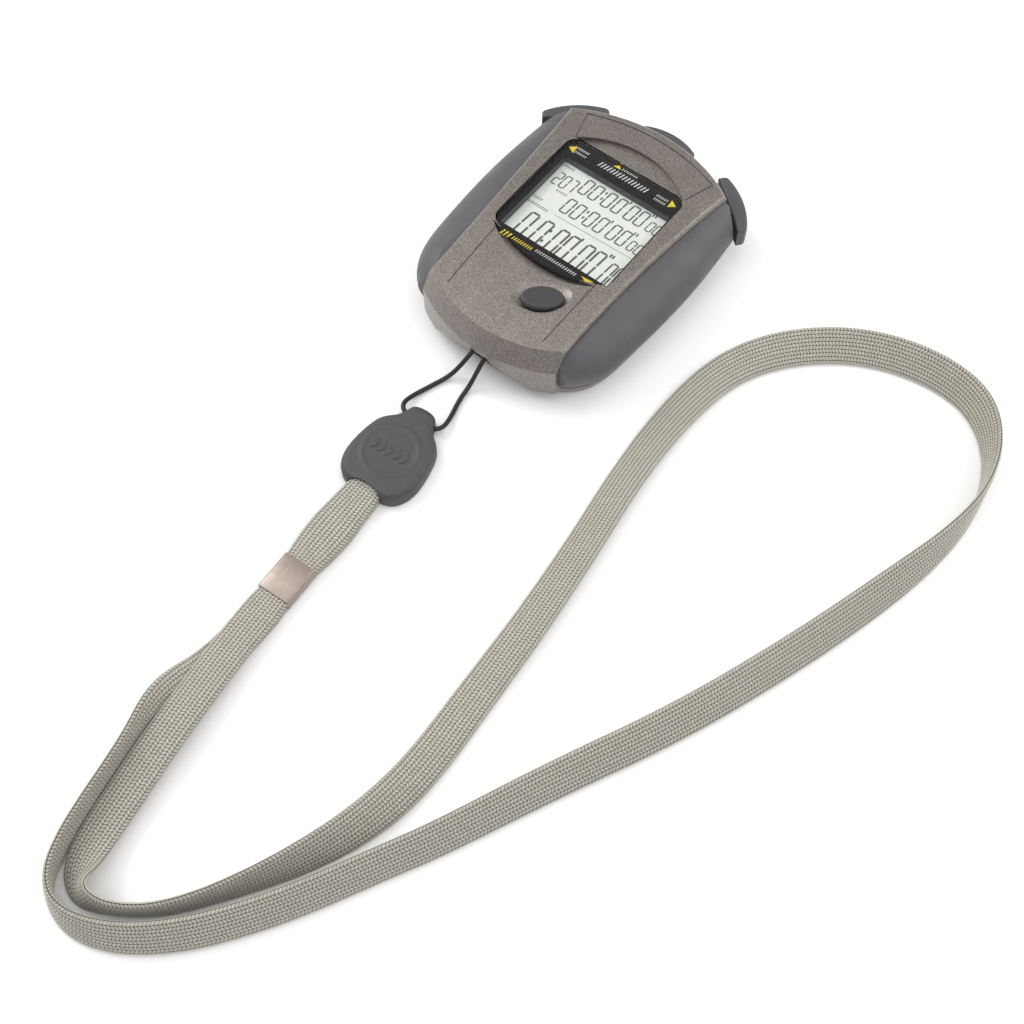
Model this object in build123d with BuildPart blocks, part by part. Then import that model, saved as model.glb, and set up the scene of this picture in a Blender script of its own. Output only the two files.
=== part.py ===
"""Digital sports stopwatch with three top buttons, a mode button and a flat neck lanyard.

Frame: millimetres. The watch lies on its back on Z = 0 with its display facing +Z.
+Y points to the end with the three buttons and +X to the wearer's right when reading the display.
The origin is the middle of the watch's footprint. The lanyard lies on the same surface, towards -Y.
"""
import os
from math import cos, pi, radians, sin, tan

from build123d import *

os.makedirs("parts", exist_ok=True)

# ---- Driving dimensions -------------------------------------------------------------------
rear_rim_z = 4.2          # joint line between the rear case and the parts above it
crown_z = 20.3            # highest line of the front case
crown_y = 4.3             # where that line runs
crown_ends = [(-44.0, 17.3), (41.0, 18.0)]
chin_foot = (-40.8, -43.7, 11.5)   # chin: y at its foot, y where it is widest, and z there
chin_wall = 2.6              # extra wall behind the chin, over its undercut
case_edge_radius = 1.3
chin_slope = (3.2, 5.0)   # how far the chin's front falls back, and how far down it does so
panel_line_width = 0.4
panel_line_depth = 0.35
floor_thickness = 1.8
wall = 1.9
gasket_section = 0.8

case_side_x = 22.6        # half width of the taupe case between the grips, at the middle
shoulder_x = 25.4         # the same at the top
shoulder_y = 30.2
case_top_y = 38.2
chin_x = 21.3
chin_y = -37.8
chin_low_y = -43.6

body_flank = [(31.0, 30.5), (32.5, 9.0), (31.6, -17.0), (28.9, -30.3), (23.0, -37.3)]
body_lean = [(1.0, 0.0), (1.0, 0.0), (1.0, 0.0), (0.85, 0.45), (0.5, 0.85)]   # which way each moves in
grip_section = [(4.2, 2.2), (8.0, 0.6), (11.5, 0.0), (14.5, 1.6), (16.8, 4.6), (18.6, 10.2)]  # z, inset
grip_below_crown = 1.4
grip_ends = (29.8, -36.6)
rear_section = [(0.0, 4.2), (1.3, 3.1), (4.2, 2.2)]      # z, inset

# Windows and display
lens_half_w = 18.4
lens_top = 22.1
lens_corner_y = -12.4
lens_low = -16.9
lens_radius = 3.6
lens_seat_z = 18.4
lens_z = 20.0
border_thickness = 0.3
opening_x = (-16.3, 17.5)
opening_y = (-12.0, 15.9)
lcd_top_z = 16.2
lcd_thickness = 1.8
board_z = 6.4
board_thickness = 1.2

# Buttons: a seat plane cut in the case, a cap outside it and a stem that slides in a bore
button_tilt = 40.0        # the corner buttons point this far from +Y
corner_seat = 40.0
corner_cap_len = 18.6
corner_cap_out = 4.3
corner_shift = 1.7
recall_seat = 38.0
recall_cap_len = 17.0
recall_cap_out = 4.6
cap_gap = 1.0             # room behind a cap for its travel
cap_low_z = 7.4
cap_high_z = 13.8
stem_z = 10.6
stem_radius = 2.0
bore_clearance = 0.06
switch_size = 6.0
switch_height = 3.2
plunger_radius = 1.5
button_travel = 0.8

mode_x = 7.4
mode_y = -25.4
mode_half_long = 5.5
mode_half_short = 3.5
mode_turn = 36.0          # its oval is turned this far from +X
mode_cap_z = 19.0
mode_cap_height = 1.5
mode_gap = 0.35
dish_place = (5.9, -25.6, 21.2)   # middle of the ellipsoid that the dish round it is cut with
dish_halves = (10.3, 6.2, 3.0)

# Battery and cover
battery_radius = 10.0
battery_thickness = 3.2
battery_y = 8.0
cover_radius = 12.6

# Lanyard
slot_half_w = 3.1
slot_low_z = 5.4
slot_high_z = 9.8
slot_x = 0.7
pin_radius = 0.8
pin_clearance = 0.02
pin_length = 8.6
pin_y = -39.4
pin_z = 7.5
strap_cord_diameter = 1.2
ribbon_width = 8.4
ribbon_thickness = 1.5
ferrule_size = (9.3, 10.5, 4.0)
ferrule_place = (2.1, -117.3)
ferrule_wall = 0.4
ferrule_turn = 3.4
tag_thickness = 4.8
tag_neck = (-1.55, -61.1)
tag_turn = 5.2
screw_places = [(10.5, 31.2), (-10.5, 31.2), (16.4, -30.5), (-16.4, -30.5)]

top_sketch_z = 26.0       # above everything, for cuts that run down from above
past_sides = 60.0         # past both sides of the case, for cuts that run across it
niche_front = 3.4         # from the chin's lowest line to the lanyard niche's block
niche_depth = 5.2


# ---- Outlines -----------------------------------------------------------------------------
def case_outline(inset=0.0, chin_inset=0.0):
    """Plan of the taupe front case, between the grips."""
    shoulder = (shoulder_x - inset, shoulder_y - inset)
    waist = (case_side_x - inset, 0)
    chin = (chin_x - inset, chin_y + inset)
    with BuildSketch() as outline:
        with BuildLine():
            ThreePointArc((-shoulder[0], shoulder[1]), (0, case_top_y - inset), shoulder)
            ThreePointArc(shoulder, waist, chin)
            ThreePointArc(chin, (0, chin_low_y + inset + chin_inset), (-chin[0], chin[1]))
            ThreePointArc((-chin[0], chin[1]), (-waist[0], 0), (-shoulder[0], shoulder[1]))
        make_face()
    return outline.sketch


def body_outline(inset=0.0):
    """Plan of the whole watch, over the grips and without the buttons."""
    flank = [(x - inset * dx, y + inset * dy)
             for (x, y), (dx, dy) in zip(body_flank, body_lean)]
    shoulder, chin = flank[0], flank[-1]
    with BuildSketch() as outline:
        with BuildLine():
            ThreePointArc((-shoulder[0], shoulder[1]), (0, case_top_y - 0.2), shoulder)
            right = Spline(*flank)
            ThreePointArc(chin, (0, chin_low_y + 0.9 + inset), (-chin[0], chin[1]))
            mirror(right, about=Plane.YZ)
        make_face()
    return outline.sketch


def lens_outline(inset=0.0):
    """Plan of the window: square sides, rounded corners and a bowed lower edge."""
    half_w = lens_half_w - inset
    low_corner = lens_corner_y + inset
    with BuildSketch() as outline:
        with BuildLine():
            Polyline((-half_w, low_corner), (-half_w, lens_top - inset),
                     (half_w, lens_top - inset), (half_w, low_corner))
            ThreePointArc((half_w, low_corner), (0, lens_low + inset), (-half_w, low_corner))
        make_face()
        fillet(outline.vertices(), radius=lens_radius - inset)
    return outline.sketch


def rectangle_between(x_range, y_range):
    """A rectangle given by its sides."""
    with BuildSketch() as outline:
        with Locations(((x_range[0] + x_range[1]) / 2, (y_range[0] + y_range[1]) / 2)):
            Rectangle(x_range[1] - x_range[0], y_range[1] - y_range[0])
    return outline.sketch


def button_plane(turn, seat):
    """Sketch plane on a button's seat: its normal points out of the case, its Y is world +Z."""
    outward = (sin(radians(turn)), cos(radians(turn)))
    return Plane(origin=(outward[0] * seat, outward[1] * seat, stem_z),
                 x_dir=(-outward[1], outward[0], 0), z_dir=(outward[0], outward[1], 0))


def plan_plane(turn, z):
    """Horizontal sketch plane turned so that its Y points the way the button points."""
    return Plane(origin=(0, 0, z), x_dir=(cos(radians(turn)), -sin(radians(turn)), 0),
                 z_dir=(0, 0, 1))


buttons = {
    "start": {"turn": button_tilt, "seat": corner_seat, "shift": -corner_shift},
    "reset": {"turn": -button_tilt, "seat": corner_seat, "shift": corner_shift},
    "recall": {"turn": 0.0, "seat": recall_seat, "shift": 0.0},
}
switch_face = 5.6         # from a button's seat in to the switch's front face
plunger_out = 1.0         # how far a switch plunger stands out of its housing
stem_reach = switch_face - plunger_out

# ---- Rear case ----------------------------------------------------------------------------
with BuildPart() as rear_case:
    for (low_z, low_inset), (high_z, high_inset) in zip(rear_section, rear_section[1:]):
        with BuildSketch(Plane.XY.offset(low_z)):
            add(body_outline(low_inset))
        with BuildSketch(Plane.XY.offset(high_z)):
            add(body_outline(high_inset))
        loft(ruled=True)
    with BuildSketch(Plane.XY.offset(floor_thickness)):
        add(case_outline(wall, chin_wall))
    extrude(amount=rear_rim_z, mode=Mode.SUBTRACT)
    # seat, through hole and thread-side step of the battery cover
    with Locations((0, battery_y, 0)):
        Cylinder(radius=cover_radius + 0.1, height=1.2, mode=Mode.SUBTRACT,
                 align=(Align.CENTER, Align.CENTER, Align.MIN))
        Cylinder(radius=battery_radius + 0.6, height=floor_thickness + 1, mode=Mode.SUBTRACT,
                 align=(Align.CENTER, Align.CENTER, Align.MIN))
    # four screw holes with countersunk heads on the back
    with Locations(Plane.XY.offset(0) * Location((0, 0, 0), (180, 0, 0))):
        with Locations(*[(x, -y) for x, y in screw_places]):
            CounterBoreHole(radius=1.15, counter_bore_radius=2.1, counter_bore_depth=1.0,
                            depth=floor_thickness + 1)

rear_case.part.label = "rear_case"
export_step(rear_case.part, "parts/rear_case.step")

# ---- Front case ---------------------------------------------------------------------------
def crown_profile(drop=0.0):
    """Side view of everything under the crowned face, on the YZ plane."""
    low_end, high_end = [(y, z - drop) for y, z in crown_ends]
    with BuildSketch(Plane.YZ) as profile:
        with BuildLine():
            ThreePointArc(low_end, (crown_y, crown_z - drop), high_end)
            foot_y, widest_y, widest_z = chin_foot
            Polyline(high_end, (high_end[0], 0), (foot_y, 0), (foot_y, rear_rim_z),
                     (widest_y, widest_z), low_end)
        make_face()
    return profile.sketch


# fine panel lines of the face: two rails each way and one across, under the buttons
with BuildPart() as panel_lines:
    with BuildSketch(Plane.XY.offset(rear_rim_z)):
        with BuildLine() as rails:
            for side in (-1, 1):
                Line((side * 15.6, -13.0), (side * 14.9, -35.0))
                Line((side * 17.6, 22.0), (side * 20.2, 31.0))
        for rail in rails.line.edges():
            trace(rail, line_width=panel_line_width)
    extrude(amount=top_sketch_z)
    with BuildSketch(Plane.XY.offset(rear_rim_z)):
        with BuildLine() as cross_rail:
            ThreePointArc((-20.2, 31.0), (0, 35.2), (20.2, 31.0))
        trace(cross_rail.line, line_width=panel_line_width)
    extrude(amount=top_sketch_z)
    extrude(crown_profile(drop=panel_line_depth), amount=past_sides, both=True, mode=Mode.SUBTRACT)

pocket_top_z = 14.4
well_top_z = 17.0
mode_dish = Pos(*dish_place) * Rot(0, 0, mode_turn) * scale(Sphere(1), by=dish_halves)
with BuildPart() as front_case:
    with BuildSketch(Plane.XY.offset(rear_rim_z)):
        add(case_outline())
    extrude(amount=crown_z)
    # crowned face, and a chin whose front falls back under its lower edge
    extrude(crown_profile(), amount=past_sides, both=True, mode=Mode.INTERSECT)
    top_face = front_case.faces().sort_by(Axis.Z)[-1]
    chin_edge = top_face.edges().sort_by(Axis.Y)[0]
    chamfer(chin_edge, length=chin_slope[0], length2=chin_slope[1], reference=top_face)
    face_edges = front_case.faces().sort_by(Axis.Z)[-1].edges().sort_by(Axis.Y)[1:]
    fillet(face_edges, radius=case_edge_radius)
    add(panel_lines.part, mode=Mode.SUBTRACT)
    # button seats
    for spec in buttons.values():
        with BuildSketch(plan_plane(spec["turn"], rear_rim_z)):
            with Locations((0, spec["seat"])):
                Rectangle(past_sides, 12, align=(Align.CENTER, Align.MIN))
        extrude(amount=cap_high_z + 0.6 - rear_rim_z, mode=Mode.SUBTRACT)
    # inside: low pocket, display well, ledge opening and window seat
    with BuildSketch(Plane.XY.offset(rear_rim_z)):
        add(case_outline(wall, chin_wall))
    extrude(amount=pocket_top_z - rear_rim_z, mode=Mode.SUBTRACT)
    with BuildSketch(Plane.XY.offset(pocket_top_z)):
        add(rectangle_between((-19.2, 19.2), (-15.4, 19.4)))
    extrude(amount=well_top_z - pocket_top_z, mode=Mode.SUBTRACT)
    with BuildSketch(Plane.XY.offset(well_top_z)):
        add(rectangle_between((-17.3, 18.2), (-13.0, 17.2)))
    extrude(amount=6, mode=Mode.SUBTRACT)
    with BuildSketch(Plane.XY.offset(lens_seat_z)):
        add(lens_outline(inset=-0.05))
    extrude(amount=6, mode=Mode.SUBTRACT)
    # crescent scoops above and below the window
    with BuildSketch(Plane.XY.offset(lens_z - 1.7)):
        with BuildLine():
            ThreePointArc((-17.6, 21.8), (0, 28.6), (17.4, 21.6))
            Line((17.4, 21.6), (-17.6, 21.8))
        make_face()
    extrude(amount=6, mode=Mode.SUBTRACT)
    with BuildSketch(Plane.XY.offset(lens_z - 2.4)):
        with BuildLine():
            ThreePointArc((-17.4, -13.6), (-1.0, -19.6), (15.6, -14.6))
            ThreePointArc((15.6, -14.6), (-1.0, -16.0), (-17.4, -13.6))
        make_face()
    extrude(amount=6, mode=Mode.SUBTRACT)
    # mode button: oval recess, the dish round it, and its bore
    with BuildSketch(Plane.XY.offset(crown_z - 2.2)):
        with Locations((mode_x, mode_y)):
            Ellipse(mode_half_long + mode_gap, mode_half_short + mode_gap, rotation=mode_turn)
    extrude(amount=top_sketch_z, mode=Mode.SUBTRACT)
    add(mode_dish, mode=Mode.SUBTRACT)
    with Locations((mode_x, mode_y, pocket_top_z - 1)):
        Cylinder(radius=stem_radius + bore_clearance, height=12, mode=Mode.SUBTRACT,
                 align=(Align.CENTER, Align.CENTER, Align.MIN))
    # bores of the three edge buttons
    for spec in buttons.values():
        with BuildSketch(button_plane(spec["turn"], spec["seat"] + 1)):
            with Locations((spec["shift"] * -1, 0)):
                Circle(stem_radius + bore_clearance)
        extrude(amount=-9, mode=Mode.SUBTRACT)
    # screw bosses
    with BuildSketch(Plane.XY.offset(rear_rim_z)):
        with Locations(*screw_places):
            Circle(2.4)
            Circle(0.85, mode=Mode.SUBTRACT)
    extrude(amount=pocket_top_z - rear_rim_z)
    # lanyard niche: a block inside the chin, its window and the holes of its pin
    with Locations((slot_x, chin_low_y + niche_front, rear_rim_z)):
        Box(2 * slot_half_w + 2 * pin_radius + wall, niche_depth, slot_high_z - rear_rim_z + 1.2,
            align=(Align.CENTER, Align.MIN, Align.MIN))
    with Locations((slot_x, chin_low_y - 4.0, slot_low_z)):
        Box(2 * slot_half_w, 11.4, slot_high_z - slot_low_z, mode=Mode.SUBTRACT,
            align=(Align.CENTER, Align.MIN, Align.MIN))
    with Locations(Location((slot_x, pin_y, pin_z), (0, 90, 0))):
        Cylinder(radius=pin_radius + pin_clearance, height=pin_length, mode=Mode.SUBTRACT)

front_case.part.label = "front_case"
export_step(front_case.part, "parts/front_case.step")

# ---- Grips: rubber side panels that follow the outline and slope up to the case ------------
with BuildPart() as grip_pair:
    for z, inset in grip_section:
        with BuildSketch(Plane.XY.offset(z)):
            add(body_outline(inset))
    loft()
    extrude(crown_profile(drop=grip_below_crown), amount=past_sides, both=True, mode=Mode.INTERSECT)
    with BuildSketch(Plane.XY.offset(rear_rim_z)):
        add(case_outline(inset=-0.02))
    extrude(amount=20, mode=Mode.SUBTRACT)
    for spec in buttons.values():
        with BuildSketch(plan_plane(spec["turn"], rear_rim_z)):
            with Locations((0, spec["seat"])):
                Rectangle(past_sides, 12, align=(Align.CENTER, Align.MIN))
        extrude(amount=20, mode=Mode.SUBTRACT)
    # the panels end at the shoulders and just above the chin
    with Locations((0, grip_ends[0], 0), (0, grip_ends[1] - 20, 0)):
        Box(80, 20, 30, mode=Mode.SUBTRACT, align=(Align.CENTER, Align.MIN, Align.MIN))

with BuildPart() as right_grip:
    add(grip_pair.part.solids().sort_by(Axis.X)[-1])
right_grip.part.label = "right_grip"
export_step(right_grip.part, "parts/right_grip.step")

with BuildPart() as left_grip:
    add(grip_pair.part.solids().sort_by(Axis.X)[0])
left_grip.part.label = "left_grip"
export_step(left_grip.part, "parts/left_grip.step")

# ---- Window, printed border and display ---------------------------------------------------
with BuildPart() as window_border:
    with BuildSketch(Plane.XY.offset(lens_seat_z)):
        add(lens_outline())
        add(rectangle_between(opening_x, opening_y), mode=Mode.SUBTRACT)
    extrude(amount=border_thickness)
window_border.part.label = "window_border"
export_step(window_border.part, "parts/window_border.step")

with BuildPart() as display_window:
    with BuildSketch(Plane.XY.offset(lens_seat_z + border_thickness)):
        add(lens_outline())
    extrude(amount=lens_z - lens_seat_z - border_thickness)
    chamfer(display_window.faces().sort_by(Axis.Z)[-1].edges(), length=0.3)
display_window.part.label = "display_window"
export_step(display_window.part, "parts/display_window.step")

frame_out_x = (-17.2, 18.1)
frame_out_y = (-12.9, 17.1)
with BuildPart() as lcd_frame:
    with BuildSketch(Plane.XY.offset(lcd_top_z)):
        add(rectangle_between(frame_out_x, frame_out_y))
    extrude(amount=lens_seat_z - lcd_top_z)
    with BuildSketch(Plane.XY.offset(lcd_top_z)):
        add(rectangle_between(opening_x, opening_y))
    extrude(amount=lens_seat_z - lcd_top_z, mode=Mode.SUBTRACT)
lcd_frame.part.label = "lcd_frame"
export_step(lcd_frame.part, "parts/lcd_frame.step")

panel_x = (-17.8, 18.7)
panel_y = (-14.0, 18.2)
with BuildPart() as lcd_panel:
    with BuildSketch(Plane.XY.offset(lcd_top_z - lcd_thickness)):
        add(rectangle_between(panel_x, panel_y))
    extrude(amount=lcd_thickness)
lcd_panel.part.label = "lcd_panel"
export_step(lcd_panel.part, "parts/lcd_panel.step")

backing_thickness = 0.3
backing_z = lcd_top_z - lcd_thickness - backing_thickness
with BuildPart() as lcd_backing:
    with BuildSketch(Plane.XY.offset(backing_z)):
        add(rectangle_between((-17.0, 17.9), (-11.0, 15.2)))
    extrude(amount=backing_thickness)
lcd_backing.part.label = "lcd_backing"
export_step(lcd_backing.part, "parts/lcd_backing.step")

board_top_z = board_z + board_thickness
strip_height = lcd_top_z - lcd_thickness - board_top_z
with BuildPart() as connector_strips:
    with BuildSketch(Plane.XY.offset(board_top_z)):
        with Locations((0.4, -12.6), (0.4, 16.8)):
            Rectangle(30, 1.8)
    extrude(amount=strip_height)
connector_strips.part.label = "connector_strips"
export_step(connector_strips.part, "parts/connector_strips.step")

holder_wall = 1.0
with BuildPart() as module_holder:
    with BuildSketch(Plane.XY.offset(board_top_z)):
        with Locations((0.4, 2.1)):
            Rectangle(35.4, 26.6)
            Rectangle(35.4 - 2 * holder_wall, 26.6 - 2 * holder_wall, mode=Mode.SUBTRACT)
    extrude(amount=backing_z - board_top_z)
module_holder.part.label = "module_holder"
export_step(module_holder.part, "parts/module_holder.step")

# ---- Circuit board and what stands on it --------------------------------------------------
with BuildPart() as circuit_board:
    with BuildSketch(Plane.XY.offset(board_z)):
        add(case_outline(wall + 0.7, chin_wall))
        with Locations((0, -44.0)):
            Rectangle(60, 20, mode=Mode.SUBTRACT)
        with Locations(*screw_places):
            Circle(2.9, mode=Mode.SUBTRACT)
    extrude(amount=board_thickness)
circuit_board.part.label = "circuit_board"
export_step(circuit_board.part, "parts/circuit_board.step")

with BuildPart() as timing_chip:
    with Locations((-4.0, 3.0, board_top_z)):
        Cylinder(radius=4.5, height=1.6, align=(Align.CENTER, Align.CENTER, Align.MIN))
    fillet(timing_chip.edges().sort_by(Axis.Z)[-1], radius=1.4)
timing_chip.part.label = "timing_chip"
export_step(timing_chip.part, "parts/timing_chip.step")

with BuildPart() as quartz_crystal:
    with Locations(Location((9.5, 2.0, board_top_z + 1.05), (0, 90, 90))):
        Cylinder(radius=1.0, height=6.2)
    fillet(quartz_crystal.edges(), radius=0.25)
quartz_crystal.part.label = "quartz_crystal"
export_step(quartz_crystal.part, "parts/quartz_crystal.step")

buzzer_place = (-7.0, -24.0)
with BuildPart() as piezo_buzzer:
    with Locations((*buzzer_place, floor_thickness)):
        Cylinder(radius=7.5, height=0.2, align=(Align.CENTER, Align.CENTER, Align.MIN))
    with Locations((*buzzer_place, floor_thickness + 0.2)):
        Cylinder(radius=5.5, height=0.25, align=(Align.CENTER, Align.CENTER, Align.MIN))
piezo_buzzer.part.label = "piezo_buzzer"
export_step(piezo_buzzer.part, "parts/piezo_buzzer.step")

spring_wire = 0.25
spring_coil = 1.3
spring_low_z = floor_thickness + 0.45 + spring_wire
with BuildPart() as buzzer_spring:
    with BuildLine():
        spring_line = Helix(pitch=0.75, height=board_z - 2 * spring_wire - spring_low_z + 0.02,
                            radius=spring_coil, center=(*buzzer_place, spring_low_z))
    with BuildSketch(Plane(origin=spring_line @ 0, z_dir=spring_line % 0)):
        Circle(spring_wire)
    sweep(is_frenet=True)
buzzer_spring.part.label = "buzzer_spring"
export_step(buzzer_spring.part, "parts/buzzer_spring.step")

# ---- Battery, its contacts and its cover --------------------------------------------------
cover_thickness = 1.1
seal_thickness = 0.5
battery_z = floor_thickness + 0.25
with BuildPart() as coin_battery:
    with Locations((0, battery_y, battery_z)):
        Cylinder(radius=battery_radius, height=battery_thickness * 0.82,
                 align=(Align.CENTER, Align.CENTER, Align.MIN))
    with Locations((0, battery_y, battery_z + battery_thickness * 0.82)):
        Cylinder(radius=battery_radius - 1.1, height=battery_thickness * 0.18,
                 align=(Align.CENTER, Align.CENTER, Align.MIN))
coin_battery.part.label = "coin_battery"
export_step(coin_battery.part, "parts/coin_battery.step")

battery_top_z = battery_z + battery_thickness
contact_thickness = 0.2
with BuildPart() as battery_contact_negative:
    with Locations((0, battery_y, battery_top_z)):
        Box(9, 3.2, contact_thickness, align=(Align.CENTER, Align.CENTER, Align.MIN))
    with Locations((4.4, battery_y, battery_top_z)):
        Box(contact_thickness, 3.2, board_z - battery_top_z,
            align=(Align.CENTER, Align.CENTER, Align.MIN))
battery_contact_negative.part.label = "battery_contact_negative"
export_step(battery_contact_negative.part, "parts/battery_contact_negative.step")

with BuildPart() as battery_contact_positive:
    with Locations((battery_radius + 0.15, battery_y, battery_z + 0.4)):
        Box(contact_thickness, 5.0, board_z - battery_z - 0.4,
            align=(Align.MIN, Align.CENTER, Align.MIN))
battery_contact_positive.part.label = "battery_contact_positive"
export_step(battery_contact_positive.part, "parts/battery_contact_positive.step")

with BuildPart() as battery_cover:
    with Locations((0, battery_y, 0.1)):
        Cylinder(radius=cover_radius, height=cover_thickness,
                 align=(Align.CENTER, Align.CENTER, Align.MIN))
    chamfer(battery_cover.faces().sort_by(Axis.Z)[0].edges(), length=0.25)
    with Locations((0, battery_y, 0.1)):
        Box(13.0, 1.8, 0.7, mode=Mode.SUBTRACT, align=(Align.CENTER, Align.CENTER, Align.MIN))
battery_cover.part.label = "battery_cover"
export_step(battery_cover.part, "parts/battery_cover.step")

with BuildPart() as cover_seal:
    with BuildSketch(Plane.XY.offset(0.1 + cover_thickness)):
        with Locations((0, battery_y)):
            Circle(battery_radius + 0.5)
            Circle(battery_radius - 0.4, mode=Mode.SUBTRACT)
    extrude(amount=seal_thickness)
cover_seal.part.label = "cover_seal"
export_step(cover_seal.part, "parts/cover_seal.step")

# ---- Fasteners and case gasket ------------------------------------------------------------
with BuildPart() as case_screws:
    with Locations(*[(x, y, 0.1) for x, y in screw_places]):
        Cylinder(radius=1.95, height=0.85, align=(Align.CENTER, Align.CENTER, Align.MIN))
        Cylinder(radius=0.8, height=7.6, align=(Align.CENTER, Align.CENTER, Align.MIN))
    with Locations(*[(x, y, 0.1) for x, y in screw_places]):
        Box(2.2, 0.5, 0.45, mode=Mode.SUBTRACT, align=(Align.CENTER, Align.CENTER, Align.MIN))
        Box(0.5, 2.2, 0.45, mode=Mode.SUBTRACT, align=(Align.CENTER, Align.CENTER, Align.MIN))
case_screws.part.label = "case_screws"
export_step(case_screws.part, "parts/case_screws.step")

with BuildPart() as case_gasket:
    with BuildSketch(Plane.XY.offset(rear_rim_z - gasket_section)):
        add(case_outline(wall + 0.02, chin_wall))
        add(case_outline(wall + gasket_section, chin_wall), mode=Mode.SUBTRACT)
    extrude(amount=gasket_section)
case_gasket.part.label = "case_gasket"
export_step(case_gasket.part, "parts/case_gasket.step")

# ---- Three edge buttons, each with its seal, plunger and switch ---------------------------
for name, spec in buttons.items():
    turn = spec["turn"]
    cap_in = spec["seat"] + cap_gap
    half = (recall_cap_len if name == "recall" else corner_cap_len) / 2
    out = recall_cap_out if name == "recall" else corner_cap_out
    edge = 2.4
    centre = spec["shift"]
    with BuildPart() as button:
        with BuildSketch(plan_plane(turn, cap_low_z)) as cap_plan:
            with BuildLine():
                Polyline((centre - half, cap_in + edge), (centre - half, cap_in),
                         (centre + half, cap_in), (centre + half, cap_in + edge))
                ThreePointArc((centre + half, cap_in + edge), (centre, cap_in + out),
                              (centre - half, cap_in + edge))
            make_face()
            fillet(cap_plan.vertices().sort_by(Axis.Y)[-2:], radius=1.4)
        extrude(amount=cap_high_z - cap_low_z)
        outer_rim = button.faces().sort_by(Axis.Z)[-1].edges() + button.faces().sort_by(Axis.Z)[0].edges()
        fillet(outer_rim, radius=0.7)
        with BuildSketch(button_plane(turn, cap_in)):
            with Locations((-centre, 0)):
                Circle(stem_radius)
        extrude(amount=-(cap_gap + stem_reach))
        with BuildSketch(button_plane(turn, spec["seat"] - 1.4)):
            with Locations((-centre, 0)):
                Circle(stem_radius + 1)
                Circle(stem_radius - 0.45, mode=Mode.SUBTRACT)
        extrude(amount=0.9, mode=Mode.SUBTRACT)
    button.part.label = f"{name}_button"
    export_step(button.part, f"parts/{name}_button.step")

    with BuildPart() as seal:
        with BuildSketch(button_plane(turn, spec["seat"] - 1.35)):
            with Locations((-centre, 0)):
                Circle(stem_radius)
                Circle(stem_radius - 0.44, mode=Mode.SUBTRACT)
        extrude(amount=0.8)
    seal.part.label = f"{name}_seal"
    export_step(seal.part, f"parts/{name}_seal.step")

    face_at = spec["seat"] - switch_face
    with BuildPart() as plunger:
        with BuildSketch(button_plane(turn, face_at + plunger_out)):
            with Locations((-centre, 0)):
                Circle(plunger_radius)
        extrude(amount=-(plunger_out + 1.0))
    plunger.part.label = f"{name}_plunger"
    export_step(plunger.part, f"parts/{name}_plunger.step")

    with BuildPart() as switch:
        with BuildSketch(button_plane(turn, face_at)):
            with Locations((-centre, 0)):
                Rectangle(switch_size, switch_size)
        extrude(amount=-switch_height)
        with BuildSketch(button_plane(turn, face_at)):
            with Locations((-centre, 0)):
                Circle(plunger_radius + 0.1)
        extrude(amount=-(1.0 + button_travel + 0.2), mode=Mode.SUBTRACT)
    switch.part.label = f"{name}_switch"
    export_step(switch.part, f"parts/{name}_switch.step")

# ---- Mode button on the face, with its plunger and switch ---------------------------------
mode_stem_low_z = board_top_z + switch_height + plunger_out
with BuildPart() as mode_button:
    with BuildSketch(Plane.XY.offset(mode_cap_z)):
        with Locations((mode_x, mode_y)):
            Ellipse(mode_half_long, mode_half_short, rotation=mode_turn)
    extrude(amount=mode_cap_height)
    fillet(mode_button.edges().sort_by(Axis.Z)[-1], radius=0.8)
    with Locations((mode_x, mode_y, mode_stem_low_z)):
        Cylinder(radius=stem_radius, height=mode_cap_z - mode_stem_low_z,
                 align=(Align.CENTER, Align.CENTER, Align.MIN))
mode_button.part.label = "mode_button"
export_step(mode_button.part, "parts/mode_button.step")

mode_switch_top_z = board_top_z + switch_height
with BuildPart() as mode_plunger:
    with Locations((mode_x, mode_y, mode_switch_top_z - 1.0)):
        Cylinder(radius=plunger_radius, height=plunger_out + 1.0,
                 align=(Align.CENTER, Align.CENTER, Align.MIN))
mode_plunger.part.label = "mode_plunger"
export_step(mode_plunger.part, "parts/mode_plunger.step")

with BuildPart() as mode_switch:
    with Locations((mode_x, mode_y, board_top_z)):
        Box(switch_size, switch_size, switch_height, align=(Align.CENTER, Align.CENTER, Align.MIN))
    with Locations((mode_x, mode_y, mode_switch_top_z)):
        Cylinder(radius=plunger_radius + 0.1, height=1.0 + button_travel + 0.2,
                 mode=Mode.SUBTRACT, align=(Align.CENTER, Align.CENTER, Align.MAX))
mode_switch.part.label = "mode_switch"
export_step(mode_switch.part, "parts/mode_switch.step")

# ---- Lanyard ------------------------------------------------------------------------------
with BuildPart() as lanyard_pin:
    with Locations(Location((slot_x, pin_y, pin_z), (0, 90, 0))):
        Cylinder(radius=pin_radius, height=pin_length - 0.1)
lanyard_pin.part.label = "lanyard_pin"
export_step(lanyard_pin.part, "parts/lanyard_pin.step")


def corner_radii(points, share=0.45):
    """The arc at each corner of a route: as large as its two runs allow."""
    radii = []
    for before, corner, after in zip(points, points[1:], points[2:]):
        run_in = Vector(*corner) - Vector(*before)
        run_out = Vector(*after) - Vector(*corner)
        turn = radians(run_in.get_angle(run_out))
        radii.append(share * min(run_in.length, run_out.length) / tan(turn / 2))
    return radii


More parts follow.
